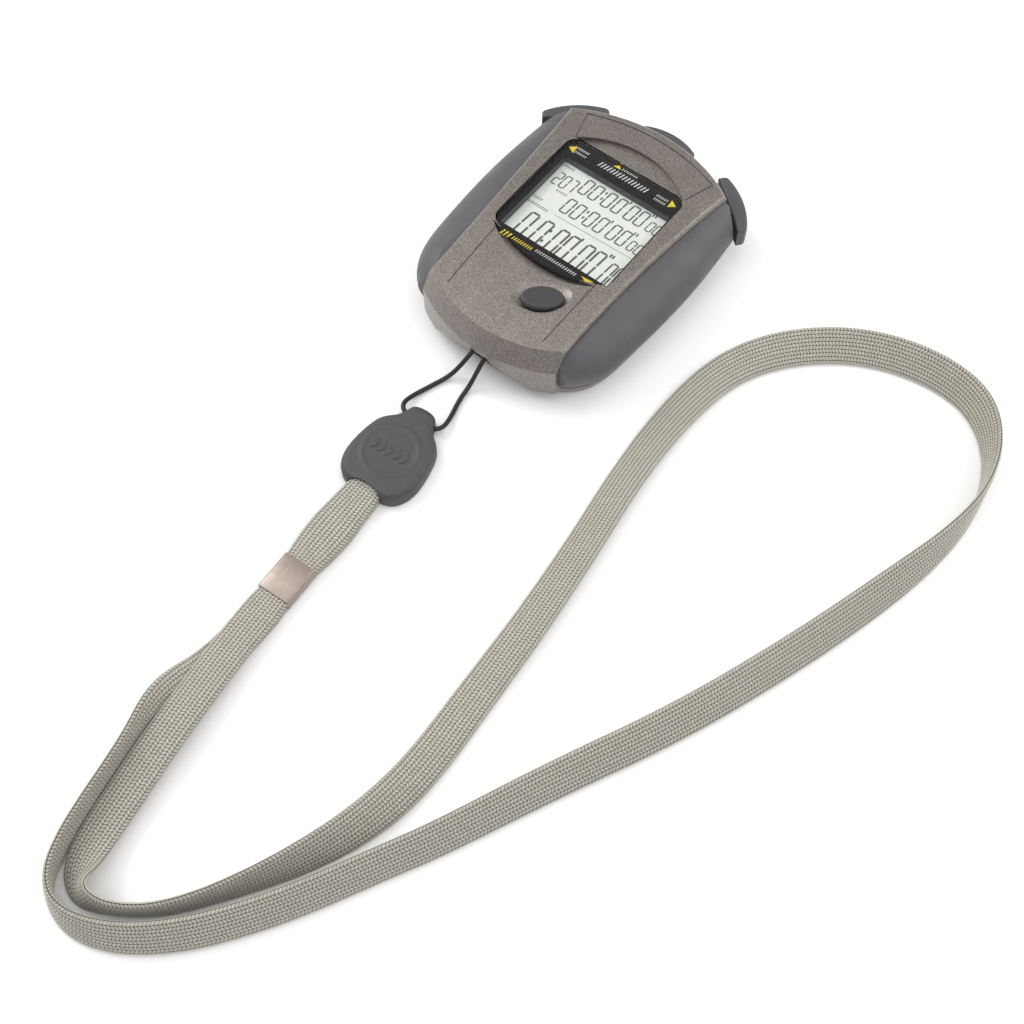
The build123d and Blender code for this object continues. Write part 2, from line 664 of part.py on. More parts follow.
strap_cord_route = [
    (-1.0, -38.0, 6.3), (-1.0, -38.0, 9.0), (-1.2, -41.6, 9.0), (-2.3, -44.9, 5.6),
    (-4.4, -48.0, 0.9), (-6.4, -53.2, 0.65), (-8.2, -58.6, 0.9), (-8.3, -62.9, 2.2),
    (-4.9, -65.0, 2.4), (2.6, -64.3, 2.4), (4.6, -62.0, 2.2), (3.5, -57.6, 0.9),
    (1.9, -52.5, 0.65), (1.4, -47.6, 0.9), (2.1, -44.9, 5.6), (2.4, -41.6, 9.0),
    (2.4, -38.0, 9.0), (2.4, -38.0, 6.3),
]
with BuildPart() as strap_cord:
    with BuildLine():
        strap_cord_line = FilletPolyline(*strap_cord_route, radius=corner_radii(strap_cord_route))
    with BuildSketch(Plane(origin=strap_cord_line @ 0, z_dir=strap_cord_line % 0)):
        Circle(strap_cord_diameter / 2)
    sweep()
strap_cord.part.label = "strap_cord"
export_step(strap_cord.part, "parts/strap_cord.step")

tag_plane = Plane(origin=(*tag_neck, 0), x_dir=(cos(radians(tag_turn)), sin(radians(tag_turn)), 0),
                  z_dir=(0, 0, 1))
tag_flank = [(3.1, 0.0), (4.3, -3.0), (5.4, -5.0), (8.0, -7.0), (9.4, -9.6), (10.4, -15.0),
             (10.6, -20.0), (9.6, -23.6), (7.6, -26.0), (5.0, -27.0)]
with BuildPart() as strap_tag:
    with BuildSketch(tag_plane):
        with BuildLine():
            flank = Spline(*tag_flank)
            Line((-3.1, 0.0), (3.1, 0.0))
            Line((-5.0, -27.0), (5.0, -27.0))
            mirror(flank, about=Plane.YZ)
        make_face()
    extrude(amount=tag_thickness)
    # cross hole of the thin cord, and the pocket of the flat strap
    with Locations(tag_plane * Location((0, -3.4, 2.4), (0, 90, 0))):
        Cylinder(radius=strap_cord_diameter / 2 + 0.15, height=20, mode=Mode.SUBTRACT)
    with Locations(tag_plane * Location((0, -17.5, 0.35))):
        Box(ribbon_width + 1.0, 12, 3.3, mode=Mode.SUBTRACT,
            align=(Align.CENTER, Align.MAX, Align.MIN))
strap_tag.part.label = "strap_tag"
export_step(strap_tag.part, "parts/strap_tag.step")

with BuildPart() as ferrule:
    with Locations(Location((*ferrule_place, 0), (0, 0, ferrule_turn))):
        Box(*ferrule_size, align=(Align.CENTER, Align.CENTER, Align.MIN))
    with Locations(Location((*ferrule_place, ferrule_wall), (0, 0, ferrule_turn))):
        Box(ferrule_size[0] - 2 * ferrule_wall, 20, ferrule_size[2] - 2 * ferrule_wall,
            mode=Mode.SUBTRACT, align=(Align.CENTER, Align.CENTER, Align.MIN))
ferrule.part.label = "ferrule"
export_step(ferrule.part, "parts/ferrule.step")

lanyard_route = [
    (0.3, -79.3, 2.8), (1.3, -101.5, 2.8), (3.1, -132.5, 2.8), (5.4, -150.0, 2.8),
    (6.9, -166.5, 2.8), (8.3, -180.5, 2.8), (11.0, -190.5, 2.8), (17.5, -197.4, 2.8),
    (26.8, -196.3, 2.8), (34.5, -190.0, 2.8), (41.5, -180.0, 2.8), (49.0, -166.5, 2.8),
    (54.8, -151.0, 2.5), (56.8, -134.0, 0.9), (55.2, -112.0, 0.9), (54.2, -90.0, 0.9),
    (51.8, -66.0, 0.9), (48.9, -45.0, 0.9), (47.8, -24.0, 0.9), (50.0, -4.0, 0.9),
    (58.5, 10.5, 0.9), (73.0, 22.5, 0.9), (90.0, 28.3, 0.9), (106.0, 27.0, 0.9),
    (117.0, 17.0, 0.9), (122.0, 1.5, 0.9), (121.0, -15.0, 0.9), (115.5, -34.0, 0.9),
    (107.0, -60.0, 0.9), (95.5, -90.0, 0.9), (81.5, -117.0, 0.9), (68.5, -141.5, 0.9),
    (59.5, -161.0, 0.9), (50.5, -178.5, 0.9), (40.0, -192.5, 0.9), (27.5, -202.8, 0.9),
    (16.0, -205.2, 0.9), (7.5, -200.0, 0.9), (2.8, -189.0, 0.9), (1.6, -173.0, 0.9),
    (2.0, -155.0, 0.95), (3.1, -132.5, 1.2), (1.3, -101.5, 1.2), (0.3, -79.3, 1.2),
]
with BuildPart() as lanyard_ribbon:
    with BuildLine():
        lanyard_line = FilletPolyline(*lanyard_route, radius=corner_radii(lanyard_route))
    with BuildSketch(Plane(origin=lanyard_line @ 0, x_dir=Vector(0, 0, 1).cross(lanyard_line % 0),
                           z_dir=lanyard_line % 0)):
        Rectangle(ribbon_width, ribbon_thickness)
    sweep()
lanyard_ribbon.part.label = "lanyard_ribbon"
export_step(lanyard_ribbon.part, "parts/lanyard_ribbon.step")

print("thin cord radii", [round(r, 1) for r in corner_radii(strap_cord_route)])
print("thin cord length", round(strap_cord_line.length, 1), "volume over section times length",
      round(strap_cord.part.volume / (pi * strap_cord_diameter ** 2 / 4 * strap_cord_line.length), 3))
print("ribbon radii", [round(r, 1) for r in corner_radii(lanyard_route)])
print("ribbon length", round(lanyard_line.length, 1), "volume over section times length",
      round(lanyard_ribbon.part.volume / (ribbon_width * ribbon_thickness * lanyard_line.length), 3))
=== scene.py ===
"""Looks of the quartz stopwatch and its neck strap, in metres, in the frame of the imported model."""
import math
import bpy
import bmesh
import numpy as np
from mathutils import Matrix, Vector


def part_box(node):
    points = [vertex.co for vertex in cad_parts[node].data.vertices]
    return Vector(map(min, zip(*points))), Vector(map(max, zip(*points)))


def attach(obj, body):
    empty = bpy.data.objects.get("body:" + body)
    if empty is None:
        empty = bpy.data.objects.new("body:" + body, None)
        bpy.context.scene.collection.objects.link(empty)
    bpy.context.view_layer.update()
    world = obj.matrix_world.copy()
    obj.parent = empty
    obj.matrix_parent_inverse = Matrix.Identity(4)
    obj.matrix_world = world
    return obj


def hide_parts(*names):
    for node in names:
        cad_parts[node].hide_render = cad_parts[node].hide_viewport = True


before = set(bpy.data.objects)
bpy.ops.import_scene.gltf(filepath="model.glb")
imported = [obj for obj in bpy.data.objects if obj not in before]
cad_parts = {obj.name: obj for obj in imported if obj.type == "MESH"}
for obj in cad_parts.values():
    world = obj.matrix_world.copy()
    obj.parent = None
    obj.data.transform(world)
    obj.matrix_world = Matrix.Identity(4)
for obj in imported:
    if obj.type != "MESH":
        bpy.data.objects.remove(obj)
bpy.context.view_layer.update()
scene = bpy.context.scene
MM = 0.001


# ---- Camera -------------------------------------------------------------------------------
def aim(thing, target):
    """Turns a camera or a lamp towards a point."""
    thing.rotation_euler = (Vector(target) - thing.location).to_track_quat("-Z", "Y").to_euler()


camera_data = bpy.data.cameras.new("camera")
camera_data.sensor_width = 36.0
camera_data.lens = 50.27
camera_data.clip_start = 0.01
camera = bpy.data.objects.new("camera", camera_data)
camera.location = (0.1324, -0.1976, 0.3097)
scene.collection.objects.link(camera)
aim(camera, (0.0321, -0.0692, 0.0))
scene.camera = camera


# ---- Braided cords ------------------------------------------------------------------------
def route_line(route, steps):
    """Points on the smooth line whose control points are the route, given in millimetres."""
    curve = bpy.data.curves.new("route", "CURVE")
    curve.dimensions = "3D"
    spline = curve.splines.new("NURBS")
    spline.points.add(len(route) - 1)
    for control, place in zip(spline.points, route):
        control.co = (place[0] * MM, place[1] * MM, place[2] * MM, 1.0)
    spline.order_u = 3
    spline.use_endpoint_u = True
    spline.resolution_u = steps
    holder = bpy.data.objects.new("route", curve)
    scene.collection.objects.link(holder)
    bpy.context.view_layer.update()
    graph = bpy.context.evaluated_depsgraph_get()
    mesh = bpy.data.meshes.new_from_object(holder.evaluated_get(graph))
    line = np.array([v.co[:] for v in mesh.vertices])
    bpy.data.objects.remove(holder)
    bpy.data.curves.remove(curve)
    bpy.data.meshes.remove(mesh)
    return line


def along_route(line, values):
    """A value given at each control point, spread over the line's points."""
    spans = len(values) - 2
    controls = np.clip(np.arange(len(values)) - 0.5, 0, spans)
    return np.interp(np.linspace(0, spans, len(line)), controls, values)


def lengths(line):
    """Distance along the line at each of its points."""
    return np.r_[0, np.cumsum(np.linalg.norm(np.diff(line, axis=0), axis=1))]


def unit(vectors):
    """Vectors in rows, brought to length one."""
    return vectors / np.linalg.norm(vectors, axis=1, keepdims=True)


def level_frames(line, lean):
    """Width and thickness directions of a flat strap that leans by an angle about its own line."""
    ahead = unit(np.gradient(line, axis=0))
    right = unit(np.cross(ahead, (0, 0, 1)))
    over = np.cross(right, ahead)
    c, s = np.cos(lean)[:, None], np.sin(lean)[:, None]
    return c * right + s * over, c * over - s * right


def carried_frames(line):
    """Two directions across a round cord, carried along it without any twist."""
    ahead = unit(np.gradient(line, axis=0))
    side = np.zeros_like(line)
    side[0] = unit(np.cross(ahead[:1], (0.3, 1.0, 0.2)))[0]
    for i in range(1, len(line)):
        step = side[i - 1] - ahead[i] * (side[i - 1] @ ahead[i])
        side[i] = step / np.linalg.norm(step)
    return side, np.cross(side, ahead)


def section_table(half_w, half_t, fullness, count=721):
    """Outline of a soft flat section, evenly spaced round it: place and outward direction."""
    angle = np.linspace(0, 2 * math.pi, count)
    power = 2 / fullness
    x = half_w * np.sign(np.cos(angle)) * np.abs(np.cos(angle)) ** power
    z = half_t * np.sign(np.sin(angle)) * np.abs(np.sin(angle)) ** power
    walk = np.r_[0, np.cumsum(np.hypot(np.diff(x), np.diff(z)))]
    even = np.linspace(0, walk[-1], count)
    x, z = np.interp(even, walk, x), np.interp(even, walk, z)
    dx, dz = np.gradient(x), np.gradient(z)
    size = np.hypot(dx, dz)
    return even / walk[-1], x, z, dz / size, -dx / size


# a leaf's share of its cell along the cord, round it, and in the map of its threads
LEAF_LONG, LEAF_WIDE, LEAF_IN_MAP = 0.56, 0.60, 0.58
# the least share of the relief that a leaf rises by, and how much more it may
RISE_LEAST, RISE_SPREAD = 0.85, 0.3


def braided(name, line, across, over, widths, half_t, columns, pick, slant, relief, fullness, seed):
    """A closed braided sleeve: every thread's crossing is a small raised leaf, in herringbone columns."""
    walk = lengths(line)
    picks = int((walk[-1] - slant) / pick)
    share, sx, sz, nx, nz = section_table(1.0, half_t / max(widths), fullness)
    rng = np.random.default_rng(seed)

    def surface(s, v, height):
        centre = np.column_stack([np.interp(s, walk, line[:, k]) for k in range(3)])
        a = unit(np.column_stack([np.interp(s, walk, across[:, k]) for k in range(3)]))
        b = unit(np.column_stack([np.interp(s, walk, over[:, k]) for k in range(3)]))
        w = np.interp(s, walk, widths)
        v = v % 1.0
        px = np.interp(v, share, sx) * w + np.interp(v, share, nx) * height
        pz = np.interp(v, share, sz) * max(widths) + np.interp(v, share, nz) * height
        return centre + a * px[:, None] + b * pz[:, None]

    j, c = np.meshgrid(np.arange(picks + 1), np.arange(columns), indexing="ij")
    corner_s = (j * pick + (c % 2) * slant).ravel()
    corner_v = (c / columns).ravel()
    corners = surface(corner_s, corner_v, np.zeros(corner_s.size))
    j, c = np.meshgrid(np.arange(picks), np.arange(columns), indexing="ij")
    j, c = j.ravel(), c.ravel()
    d = (c + 1) % columns
    quad = np.column_stack([j * columns + c, j * columns + d,
                            (j + 1) * columns + d, (j + 1) * columns + c])
    quad_s = np.column_stack([j * pick + (c % 2) * slant, j * pick + ((c + 1) % 2) * slant,
                              (j + 1) * pick + ((c + 1) % 2) * slant, (j + 1) * pick + (c % 2) * slant])
    quad_v = np.column_stack([c, c + 1, c + 1, c]) / columns
    mid_s, mid_v = quad_s.mean(1, keepdims=True), quad_v.mean(1, keepdims=True)
    leaf_s = mid_s + (quad_s - mid_s) * LEAF_LONG
    leaf_v = mid_v + (quad_v - mid_v) * LEAF_WIDE
    rise = relief * (RISE_LEAST + RISE_SPREAD * rng.random(j.size))
    leaves = surface(leaf_s.ravel(), leaf_v.ravel(), np.repeat(rise, 4))
    first = len(corners)
    leaf = first + np.arange(j.size * 4).reshape(-1, 4)
    local = np.array([[0, 0], [1, 0], [1, 1], [0, 1]], float)
    leaf_local = 0.5 + (local - 0.5) * LEAF_IN_MAP
    faces, maps = [leaf], [np.tile(leaf_local, (j.size, 1, 1))]
    for k in range(4):
        n = (k + 1) % 4
        faces.append(np.column_stack([quad[:, k], quad[:, n], leaf[:, n], leaf[:, k]]))
        maps.append(np.tile(np.array([local[k], local[n], leaf_local[n], leaf_local[k]]), (j.size, 1, 1)))
    faces = np.concatenate(faces)
    uv = np.concatenate(maps) + np.tile(np.column_stack([c, j]), (5, 1))[:, None, :]
    ends = [list(range(columns))[::-1], [picks * columns + k for k in range(columns)]]
    verts = np.concatenate([corners, leaves])
    mesh = bpy.data.meshes.new(name)
    mesh.from_pydata(verts.tolist(), [], faces.tolist() + ends)
    # the leaves carry 1 in "thread" and the corners between them 0; the yarn finishes paint shade where it is
    # 0
    raised = np.r_[np.zeros(first), np.ones(j.size * 4)]
    shade = np.r_[np.full(first, 0.5), np.repeat(rng.random(j.size), 4)]
    for label, values in (("thread", raised), ("shade", shade)):
        carry(mesh, label, values)
    layer = mesh.uv_layers.new(name="threads")
    flat = np.concatenate([uv.reshape(-1, 2), np.zeros((2 * columns, 2))])
    layer.data.foreach_set("uv", flat.astype(np.float32).ravel())
    mesh.polygons.foreach_set("use_smooth", [True] * (len(faces)) + [False] * 2)
    obj = bpy.data.objects.new(name, mesh)
    scene.collection.objects.link(obj)
    face_outwards(obj)
    return obj


def carry(mesh, label, values):
    """Stores one number at each point of a mesh."""
    mesh.attributes.new(label, "FLOAT", "POINT").data.foreach_set("value", values.astype(np.float32))


def face_outwards(obj):
    """Turns a closed piece's faces outwards."""
    bm = bmesh.new()
    bm.from_mesh(obj.data)
    bmesh.ops.recalc_face_normals(bm, faces=bm.faces)
    bm.to_mesh(obj.data)
    bm.free()


# control points of the thin cord: hooked over the pin in the chin, down to the table, through the tag
thin_route = [
    (-1.0, -38.0, 6.3), (-1.0, -38.0, 9.0), (-1.2, -41.6, 9.0), (-2.3, -44.9, 5.6),
    (-4.4, -48.0, 0.9), (-6.4, -53.2, 0.65), (-8.2, -58.6, 0.9), (-8.3, -62.9, 2.2),
    (-4.9, -65.0, 2.4), (2.6, -64.3, 2.4), (4.6, -62.0, 2.2), (3.5, -57.6, 0.9),
    (1.9, -52.5, 0.65), (1.4, -47.6, 0.9), (2.1, -44.9, 5.6), (2.4, -41.6, 9.0),
    (2.4, -38.0, 9.0), (2.4, -38.0, 6.3),
]
THIN_DIAMETER = 1.2 * MM
THIN_CORE = 0.47 * THIN_DIAMETER
ROUTE_STEPS = 24
thin_line = route_line(thin_route, ROUTE_STEPS)
thin_across, thin_over = carried_frames(thin_line)
thin_cord = braided("thin_cord", thin_line, thin_across, thin_over,
                    np.full(len(thin_line), THIN_CORE), THIN_CORE, columns=12,
                    pick=0.5 * MM, slant=0.34 * MM, relief=0.05 * MM, fullness=2.0, seed=4)
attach(thin_cord, "case")
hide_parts("strap_cord")

# control points of the flat strap, then how far its right-hand edge is lifted there, in degrees
strap_route = [
    (0.3, -79.3, 2.8, 0), (1.3, -101.5, 2.8, 0), (3.1, -132.5, 2.8, 0), (5.2, -148.0, 4.2, 0),
    (7.3, -163.0, 4.8, 0), (9.3, -177.0, 3.6, -2), (11.2, -188.5, 3.2, -8), (13.4, -195.6, 4.0, -26),
    (17.6, -199.6, 5.0, -64), (23.2, -198.4, 4.9, -86), (29.5, -194.6, 4.8, -90), (35.0, -189.4, 4.8, -88),
    (41.5, -180.0, 4.7, -82), (49.0, -166.5, 4.4, -62), (54.8, -151.0, 3.4, -38), (56.8, -134.0, 2.0, -12),
    (55.2, -112.0, 1.0, 2), (54.2, -90.0, 1.5, 12), (51.8, -66.0, 2.0, 17), (48.9, -45.0, 2.0, 16),
    (47.8, -24.0, 1.5, 8), (50.0, -4.0, 1.8, -10), (58.5, 10.5, 2.8, -28), (73.0, 22.5, 3.5, -40),
    (90.0, 28.0, 3.8, -46), (106.0, 26.6, 4.1, -56), (116.5, 16.5, 4.5, -76), (121.3, 2.0, 4.7, -92),
    (120.4, -14.0, 4.5, -112), (115.2, -34.0, 3.9, -134), (107.0, -60.0, 3.8, -138),
    (95.5, -90.0, 3.8, -138), (81.5, -118.0, 3.8, -135), (70.0, -143.5, 3.9, -128),
    (64.0, -154.5, 3.9, -126), (55.5, -170.7, 4.0, -125), (48.4, -182.0, 4.1, -124),
    (40.8, -192.0, 4.1, -124), (31.8, -200.2, 4.1, -122), (22.5, -204.8, 4.2, -116),
    (14.6, -204.9, 4.5, -104), (9.4, -200.6, 4.7, -95), (6.6, -193.5, 4.7, -90), (4.7, -185.0, 4.7, -89),
    (3.2, -176.0, 4.7, -88), (1.7, -167.5, 4.7, -84), (0.5, -159.5, 4.4, -62), (0.9, -152.5, 2.6, -28),
    (2.4, -145.0, 1.2, -6), (3.1, -132.5, 1.2, 0), (1.3, -101.5, 1.2, 0), (0.3, -79.3, 1.2, 0),
]
STRAP_WIDTH = 9.2 * MM
STRAP_THICK = 1.6 * MM
STRAP_RELIEF = 0.1 * MM
strap_line = route_line(strap_route, ROUTE_STEPS)
strap_lean = np.radians(along_route(strap_line, [p[3] for p in strap_route]))
SMOOTHED_OVER = 25
even = np.ones(SMOOTHED_OVER) / SMOOTHED_OVER
strap_lean = np.convolve(np.pad(strap_lean, SMOOTHED_OVER // 2, mode="edge"), even, mode="valid")
resting = (STRAP_WIDTH / 2 * np.abs(np.sin(strap_lean)) + STRAP_THICK / 2 * np.abs(np.cos(strap_lean))
           + STRAP_RELIEF)
strap_line[:, 2] = np.maximum(strap_line[:, 2], resting)
strap_across, strap_over = level_frames(strap_line, strap_lean)

# both strands are narrower in the ferrule and in the tag, and swell between them
BOTH_STRANDS_X = 20 * MM
FERRULE_Y, FERRULE_REACH = -117.3 * MM, 7.5 * MM
TAG_MOUTH_Y, TAG_MOUTH_EDGE = -87.0 * MM, 0.8 * MM
SWELL_Y, SWELL_REACH = -101.0 * MM, 8.0 * MM
PINCH, SWELL = 0.5 * MM, 0.85 * MM
strap_y = strap_line[:, 1]
both_strands = strap_line[:, 0] < BOTH_STRANDS_X
in_ferrule = np.exp(-(((strap_y - FERRULE_Y) / FERRULE_REACH) ** 4)) * both_strands
in_tag = 1 / (1 + np.exp((TAG_MOUTH_Y - strap_y) / TAG_MOUTH_EDGE)) * both_strands
swollen = np.exp(-(((strap_y - SWELL_Y) / SWELL_REACH) ** 2)) * both_strands
strap_widths = STRAP_WIDTH / 2 - PINCH * np.maximum(in_ferrule, in_tag) + SWELL * swollen
flat_strap = braided("flat_strap", strap_line, strap_across, strap_over, strap_widths, STRAP_THICK / 2,
                     columns=20, pick=0.86 * MM, slant=0.58 * MM, relief=STRAP_RELIEF, fullness=3.0, seed=9)
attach(flat_strap, "case")
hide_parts("lanyard_ribbon")


# ---- Finishes -----------------------------------------------------------------------------
def tone(r, g, b):
    """A colour given as it looks on a screen, 0 to 255."""
    channels = [v / 255 for v in (r, g, b)]
    return tuple(v / 12.92 if v <= 0.04045 else ((v + 0.055) / 1.055) ** 2.4 for v in channels) + (1.0,)


def dimmed(colour, share):
    """A colour with less light in it."""
    return tuple(share * v for v in colour[:3]) + (1.0,)


def shades(dark, light):
    """A scale from a dark colour to a light one, over the middle of a pattern's values."""
    return [(0.3, dark), (0.7, light)]


# the colour sockets of a mix node, which share their names with its number and vector sockets
MIX_FIRST, MIX_SECOND, MIX_RESULT = 6, 7, 2


class Finish:
    """A material being put together."""

    def __init__(self, name, **constants):
        self.material = bpy.data.materials.new(name)
        self.material.use_nodes = True
        self.nodes = self.material.node_tree.nodes
        self.shader = self.nodes["Principled BSDF"]
        self.coords = self.add("ShaderNodeTexCoord").outputs["Object"]
        for label, value in constants.items():
            self.shader.inputs[label.replace("_", " ")].default_value = value

    def add(self, kind, **settings):
        node = self.nodes.new(kind)
        for label, value in settings.items():
            setattr(node, label, value)
        return node

    def join(self, source, target):
        self.material.node_tree.links.new(source, target)

    def stretched(self, source, scale):
        """The pattern's coordinates, squeezed by scale along each axis."""
        node = self.add("ShaderNodeMapping")
        node.inputs["Scale"].default_value = scale
        self.join(source, node.inputs["Vector"])
        return node.outputs["Vector"]

    def noise(self, size, detail=2.0, source=None):
        """Cloudy pattern with clumps of a size in millimetres."""
        node = self.add("ShaderNodeTexNoise")
        node.inputs["Scale"].default_value = 1 / (size * MM)
        node.inputs["Detail"].default_value = detail
        self.join(source or self.coords, node.inputs["Vector"])
        return node.outputs["Fac"]

    def flakes(self, size):
        """A different value in each small cell, as in a metallic lacquer."""
        node = self.add("ShaderNodeTexVoronoi")
        node.inputs["Scale"].default_value = 1 / (size * MM)
        self.join(self.coords, node.inputs["Vector"])
        grey = self.add("ShaderNodeRGBToBW")
        self.join(node.outputs["Color"], grey.inputs["Color"])
        return grey.outputs["Val"]

    def ramp(self, source, stops):
        """Colours read off a scale by a value from 0 to 1."""
        node = self.add("ShaderNodeValToRGB")
        scale = node.color_ramp.elements
        while len(scale) < len(stops):
            scale.new(0.5)
        for element, (place, colour) in zip(scale, stops):
            element.position = place
            element.color = colour
        self.join(source, node.inputs["Fac"])
        return node.outputs["Color"]

    def blend(self, share, first, second):
        """Two colours mixed by a value."""
        node = self.add("ShaderNodeMix", data_type="RGBA")
        self.join(share, node.inputs["Factor"])
        for source, socket in ((first, node.inputs[MIX_FIRST]), (second, node.inputs[MIX_SECOND])):
            if isinstance(source, tuple):
                socket.default_value = source
            else:
                self.join(source, socket)
        return node.outputs[MIX_RESULT]

    def span(self, source, low, high, from_low=0.3, from_high=0.7):
        """A value moved to another range."""
        node = self.add("ShaderNodeMapRange")
        limits = {"From Min": from_low, "From Max": from_high, "To Min": low, "To Max": high}
        for label, value in limits.items():
            node.inputs[label].default_value = value
        self.join(source, node.inputs["Value"])
        return node.outputs["Result"]

    def colour(self, source):
        self.join(source, self.shader.inputs["Base Color"])

    def rough(self, source):
        self.join(source, self.shader.inputs["Roughness"])

    def relief(self, *layers):
        """Bumps, each a pattern and its height in millimetres."""
        normal = None
        for source, height in layers:
            node = self.add("ShaderNodeBump")
            node.inputs["Distance"].default_value = height * MM
            self.join(source, node.inputs["Height"])
            if normal:
                self.join(normal, node.inputs["Normal"])
            normal = node.outputs["Normal"]
        self.join(normal, self.shader.inputs["Normal"])
        return self


def moulded(name, light, dark, grain, height, rough_low, rough_high, **constants):
    """Moulded plastic or rubber: a fine spark-eroded grain, and faint clouding in its colour."""
    finish = Finish(name, **constants)
    fine = finish.noise(grain, 3.0)
    cloud = finish.noise(grain * 45, 3.0)
    clouded = shades(dimmed(dark, 0.86), dimmed(light, 0.93))
    finish.colour(finish.blend(finish.span(cloud, 0.0, 1.0), finish.ramp(fine, shades(dark, light)),
                               finish.ramp(fine, clouded)))
    finish.rough(finish.span(cloud, rough_low, rough_high))
    return finish.relief((fine, height))


def brushed(name, light, dark, along, rough_low, rough_high, **constants):
    """Metal drawn in one direction: long fine scratches in colour, gloss and height."""
    finish = Finish(name, Metallic=1.0, **constants)
    scratches = finish.noise(0.12, 4.0, finish.stretched(finish.coords, along))
    smudge = finish.noise(3.0, 2.0)
    finish.colour(finish.ramp(scratches, shades(dark, light)))
    finish.rough(finish.span(smudge, rough_low, rough_high))
    return finish.relief((scratches, 0.004))


def printed(name, dark, light, grain, smear, rough_low, rough_high, smear_detail=2.0, **constants):
    """Printed ink: a faint grain in its colour, and smears in its gloss."""
    finish = Finish(name, **constants)
    finish.colour(finish.ramp(finish.noise(grain, 2.0), shades(dark, light)))
    finish.rough(finish.span(finish.noise(smear, smear_detail), rough_low, rough_high))
    return finish


case_lacquer = Finish("case_lacquer", Metallic=0.7, Coat_Weight=0.45, Coat_Roughness=0.18)
flake = case_lacquer.flakes(0.11)
drift = case_lacquer.noise(9.0, 2.0)
case_lacquer.colour(case_lacquer.blend(
    case_lacquer.span(drift, 0.0, 1.0),
    case_lacquer.ramp(flake, [(0.15, tone(90, 85, 80)), (0.55, tone(126, 120, 114)),
                              (0.85, tone(170, 162, 154))]),
    case_lacquer.ramp(flake, [(0.15, tone(86, 81, 76)), (0.55, tone(121, 114, 108)),
                              (0.85, tone(164, 156, 148))])))
case_lacquer.rough(case_lacquer.span(flake, 0.34, 0.48))
case_lacquer.relief((flake, 0.004), (case_lacquer.noise(0.5, 2.0), 0.004))

rear_plastic = moulded("rear_plastic", tone(140, 133, 127), tone(120, 113, 107), 0.22, 0.02, 0.42, 0.55,
                       Metallic=0.15)
grip_rubber = moulded("grip_rubber", tone(90, 90, 92), tone(76, 76, 78), 0.16, 0.012, 0.44, 0.58)
button_rubber = moulded("button_rubber", tone(84, 84, 86), tone(70, 70, 72), 0.12, 0.008, 0.36, 0.48)
tag_rubber = moulded("tag_rubber", tone(74, 74, 74), tone(61, 61, 61), 0.2, 0.02, 0.5, 0.62)
frame_plastic = moulded("frame_plastic", tone(88, 92, 104), tone(74, 78, 88), 0.15, 0.01, 0.4, 0.55)
reflector = moulded("reflector", tone(232, 234, 224), tone(220, 222, 210), 0.3, 0.01, 0.5, 0.6)
seal_rubber = moulded("seal_rubber", tone(34, 34, 35), tone(22, 22, 23), 0.15, 0.012, 0.55, 0.7)
mode_rubber = moulded("mode_rubber", tone(62, 62, 64), tone(50, 50, 52), 0.12, 0.008, 0.36, 0.48)
switch_plastic = moulded("switch_plastic", tone(44, 44, 46), tone(30, 30, 32), 0.2, 0.012, 0.4, 0.55)
plunger_plastic = moulded("plunger_plastic", tone(222, 216, 202), tone(206, 200, 186), 0.2, 0.01, 0.4, 0.5)
cover_plastic = moulded("cover_plastic", tone(116, 110, 105), tone(98, 92, 88), 0.22, 0.02, 0.42, 0.56)

border_print = printed("border_print", tone(20, 18, 19), tone(31, 29, 30), 0.08, 4.0, 0.42, 0.54,
                       smear_detail=3.0, Specular_IOR_Level=0.22)
digit_ink = printed("digit_ink", tone(96, 98, 93), tone(116, 118, 112), 0.15, 1.0, 0.3, 0.42,
                    Specular_IOR_Level=0.3)
white_print = printed("white_print", tone(214, 212, 208), tone(236, 235, 231), 0.1, 0.8, 0.35, 0.5)
yellow_print = printed("yellow_print", tone(226, 196, 40), tone(244, 218, 66), 0.1, 0.8, 0.35, 0.5)

display_face = Finish("display_face", Specular_IOR_Level=0.3)
cells = display_face.noise(0.1, 1.0)
shine = display_face.noise(14.0, 1.0)
display_face.colour(display_face.blend(
    display_face.span(shine, 0.0, 1.0),
    display_face.ramp(cells, shades(tone(247, 250, 243), tone(253, 255, 249))),
    display_face.ramp(cells, shades(tone(241, 246, 238), tone(249, 252, 245)))))
display_face.rough(display_face.span(shine, 0.34, 0.44))
display_face.relief((cells, 0.003))

elastomer = Finish("elastomer")
layers = elastomer.add("ShaderNodeTexWave", bands_direction="X")
layers.inputs["Scale"].default_value = 1 / (1.2 * MM)
elastomer.join(elastomer.coords, layers.inputs["Vector"])
elastomer.colour(elastomer.ramp(layers.outputs["Fac"],
                                [(0.3, tone(40, 34, 36)), (0.45, tone(206, 168, 172))]))
elastomer.rough(elastomer.span(elastomer.noise(0.4), 0.5, 0.65))
elastomer.relief((layers.outputs["Fac"], 0.01))

board = Finish("board", Coat_Weight=0.4, Coat_Roughness=0.2)
tracks = board.add("ShaderNodeTexBrick", offset=0.37, squash=0.6, squash_frequency=3)
tracks.inputs["Scale"].default_value = 1 / (3.4 * MM)
tracks.inputs["Mortar Size"].default_value = 0.035
tracks.inputs["Color1"].default_value = tone(20, 92, 52)
tracks.inputs["Color2"].default_value = tone(24, 102, 58)
tracks.inputs["Mortar"].default_value = tone(58, 146, 88)
board.join(board.coords, tracks.inputs["Vector"])
board.colour(board.blend(board.span(board.noise(0.3), 0.0, 0.35), tracks.outputs["Color"], tone(12, 64, 36)))
board.rough(board.span(board.noise(2.0), 0.28, 0.42))
board.relief((tracks.outputs["Fac"], 0.02))

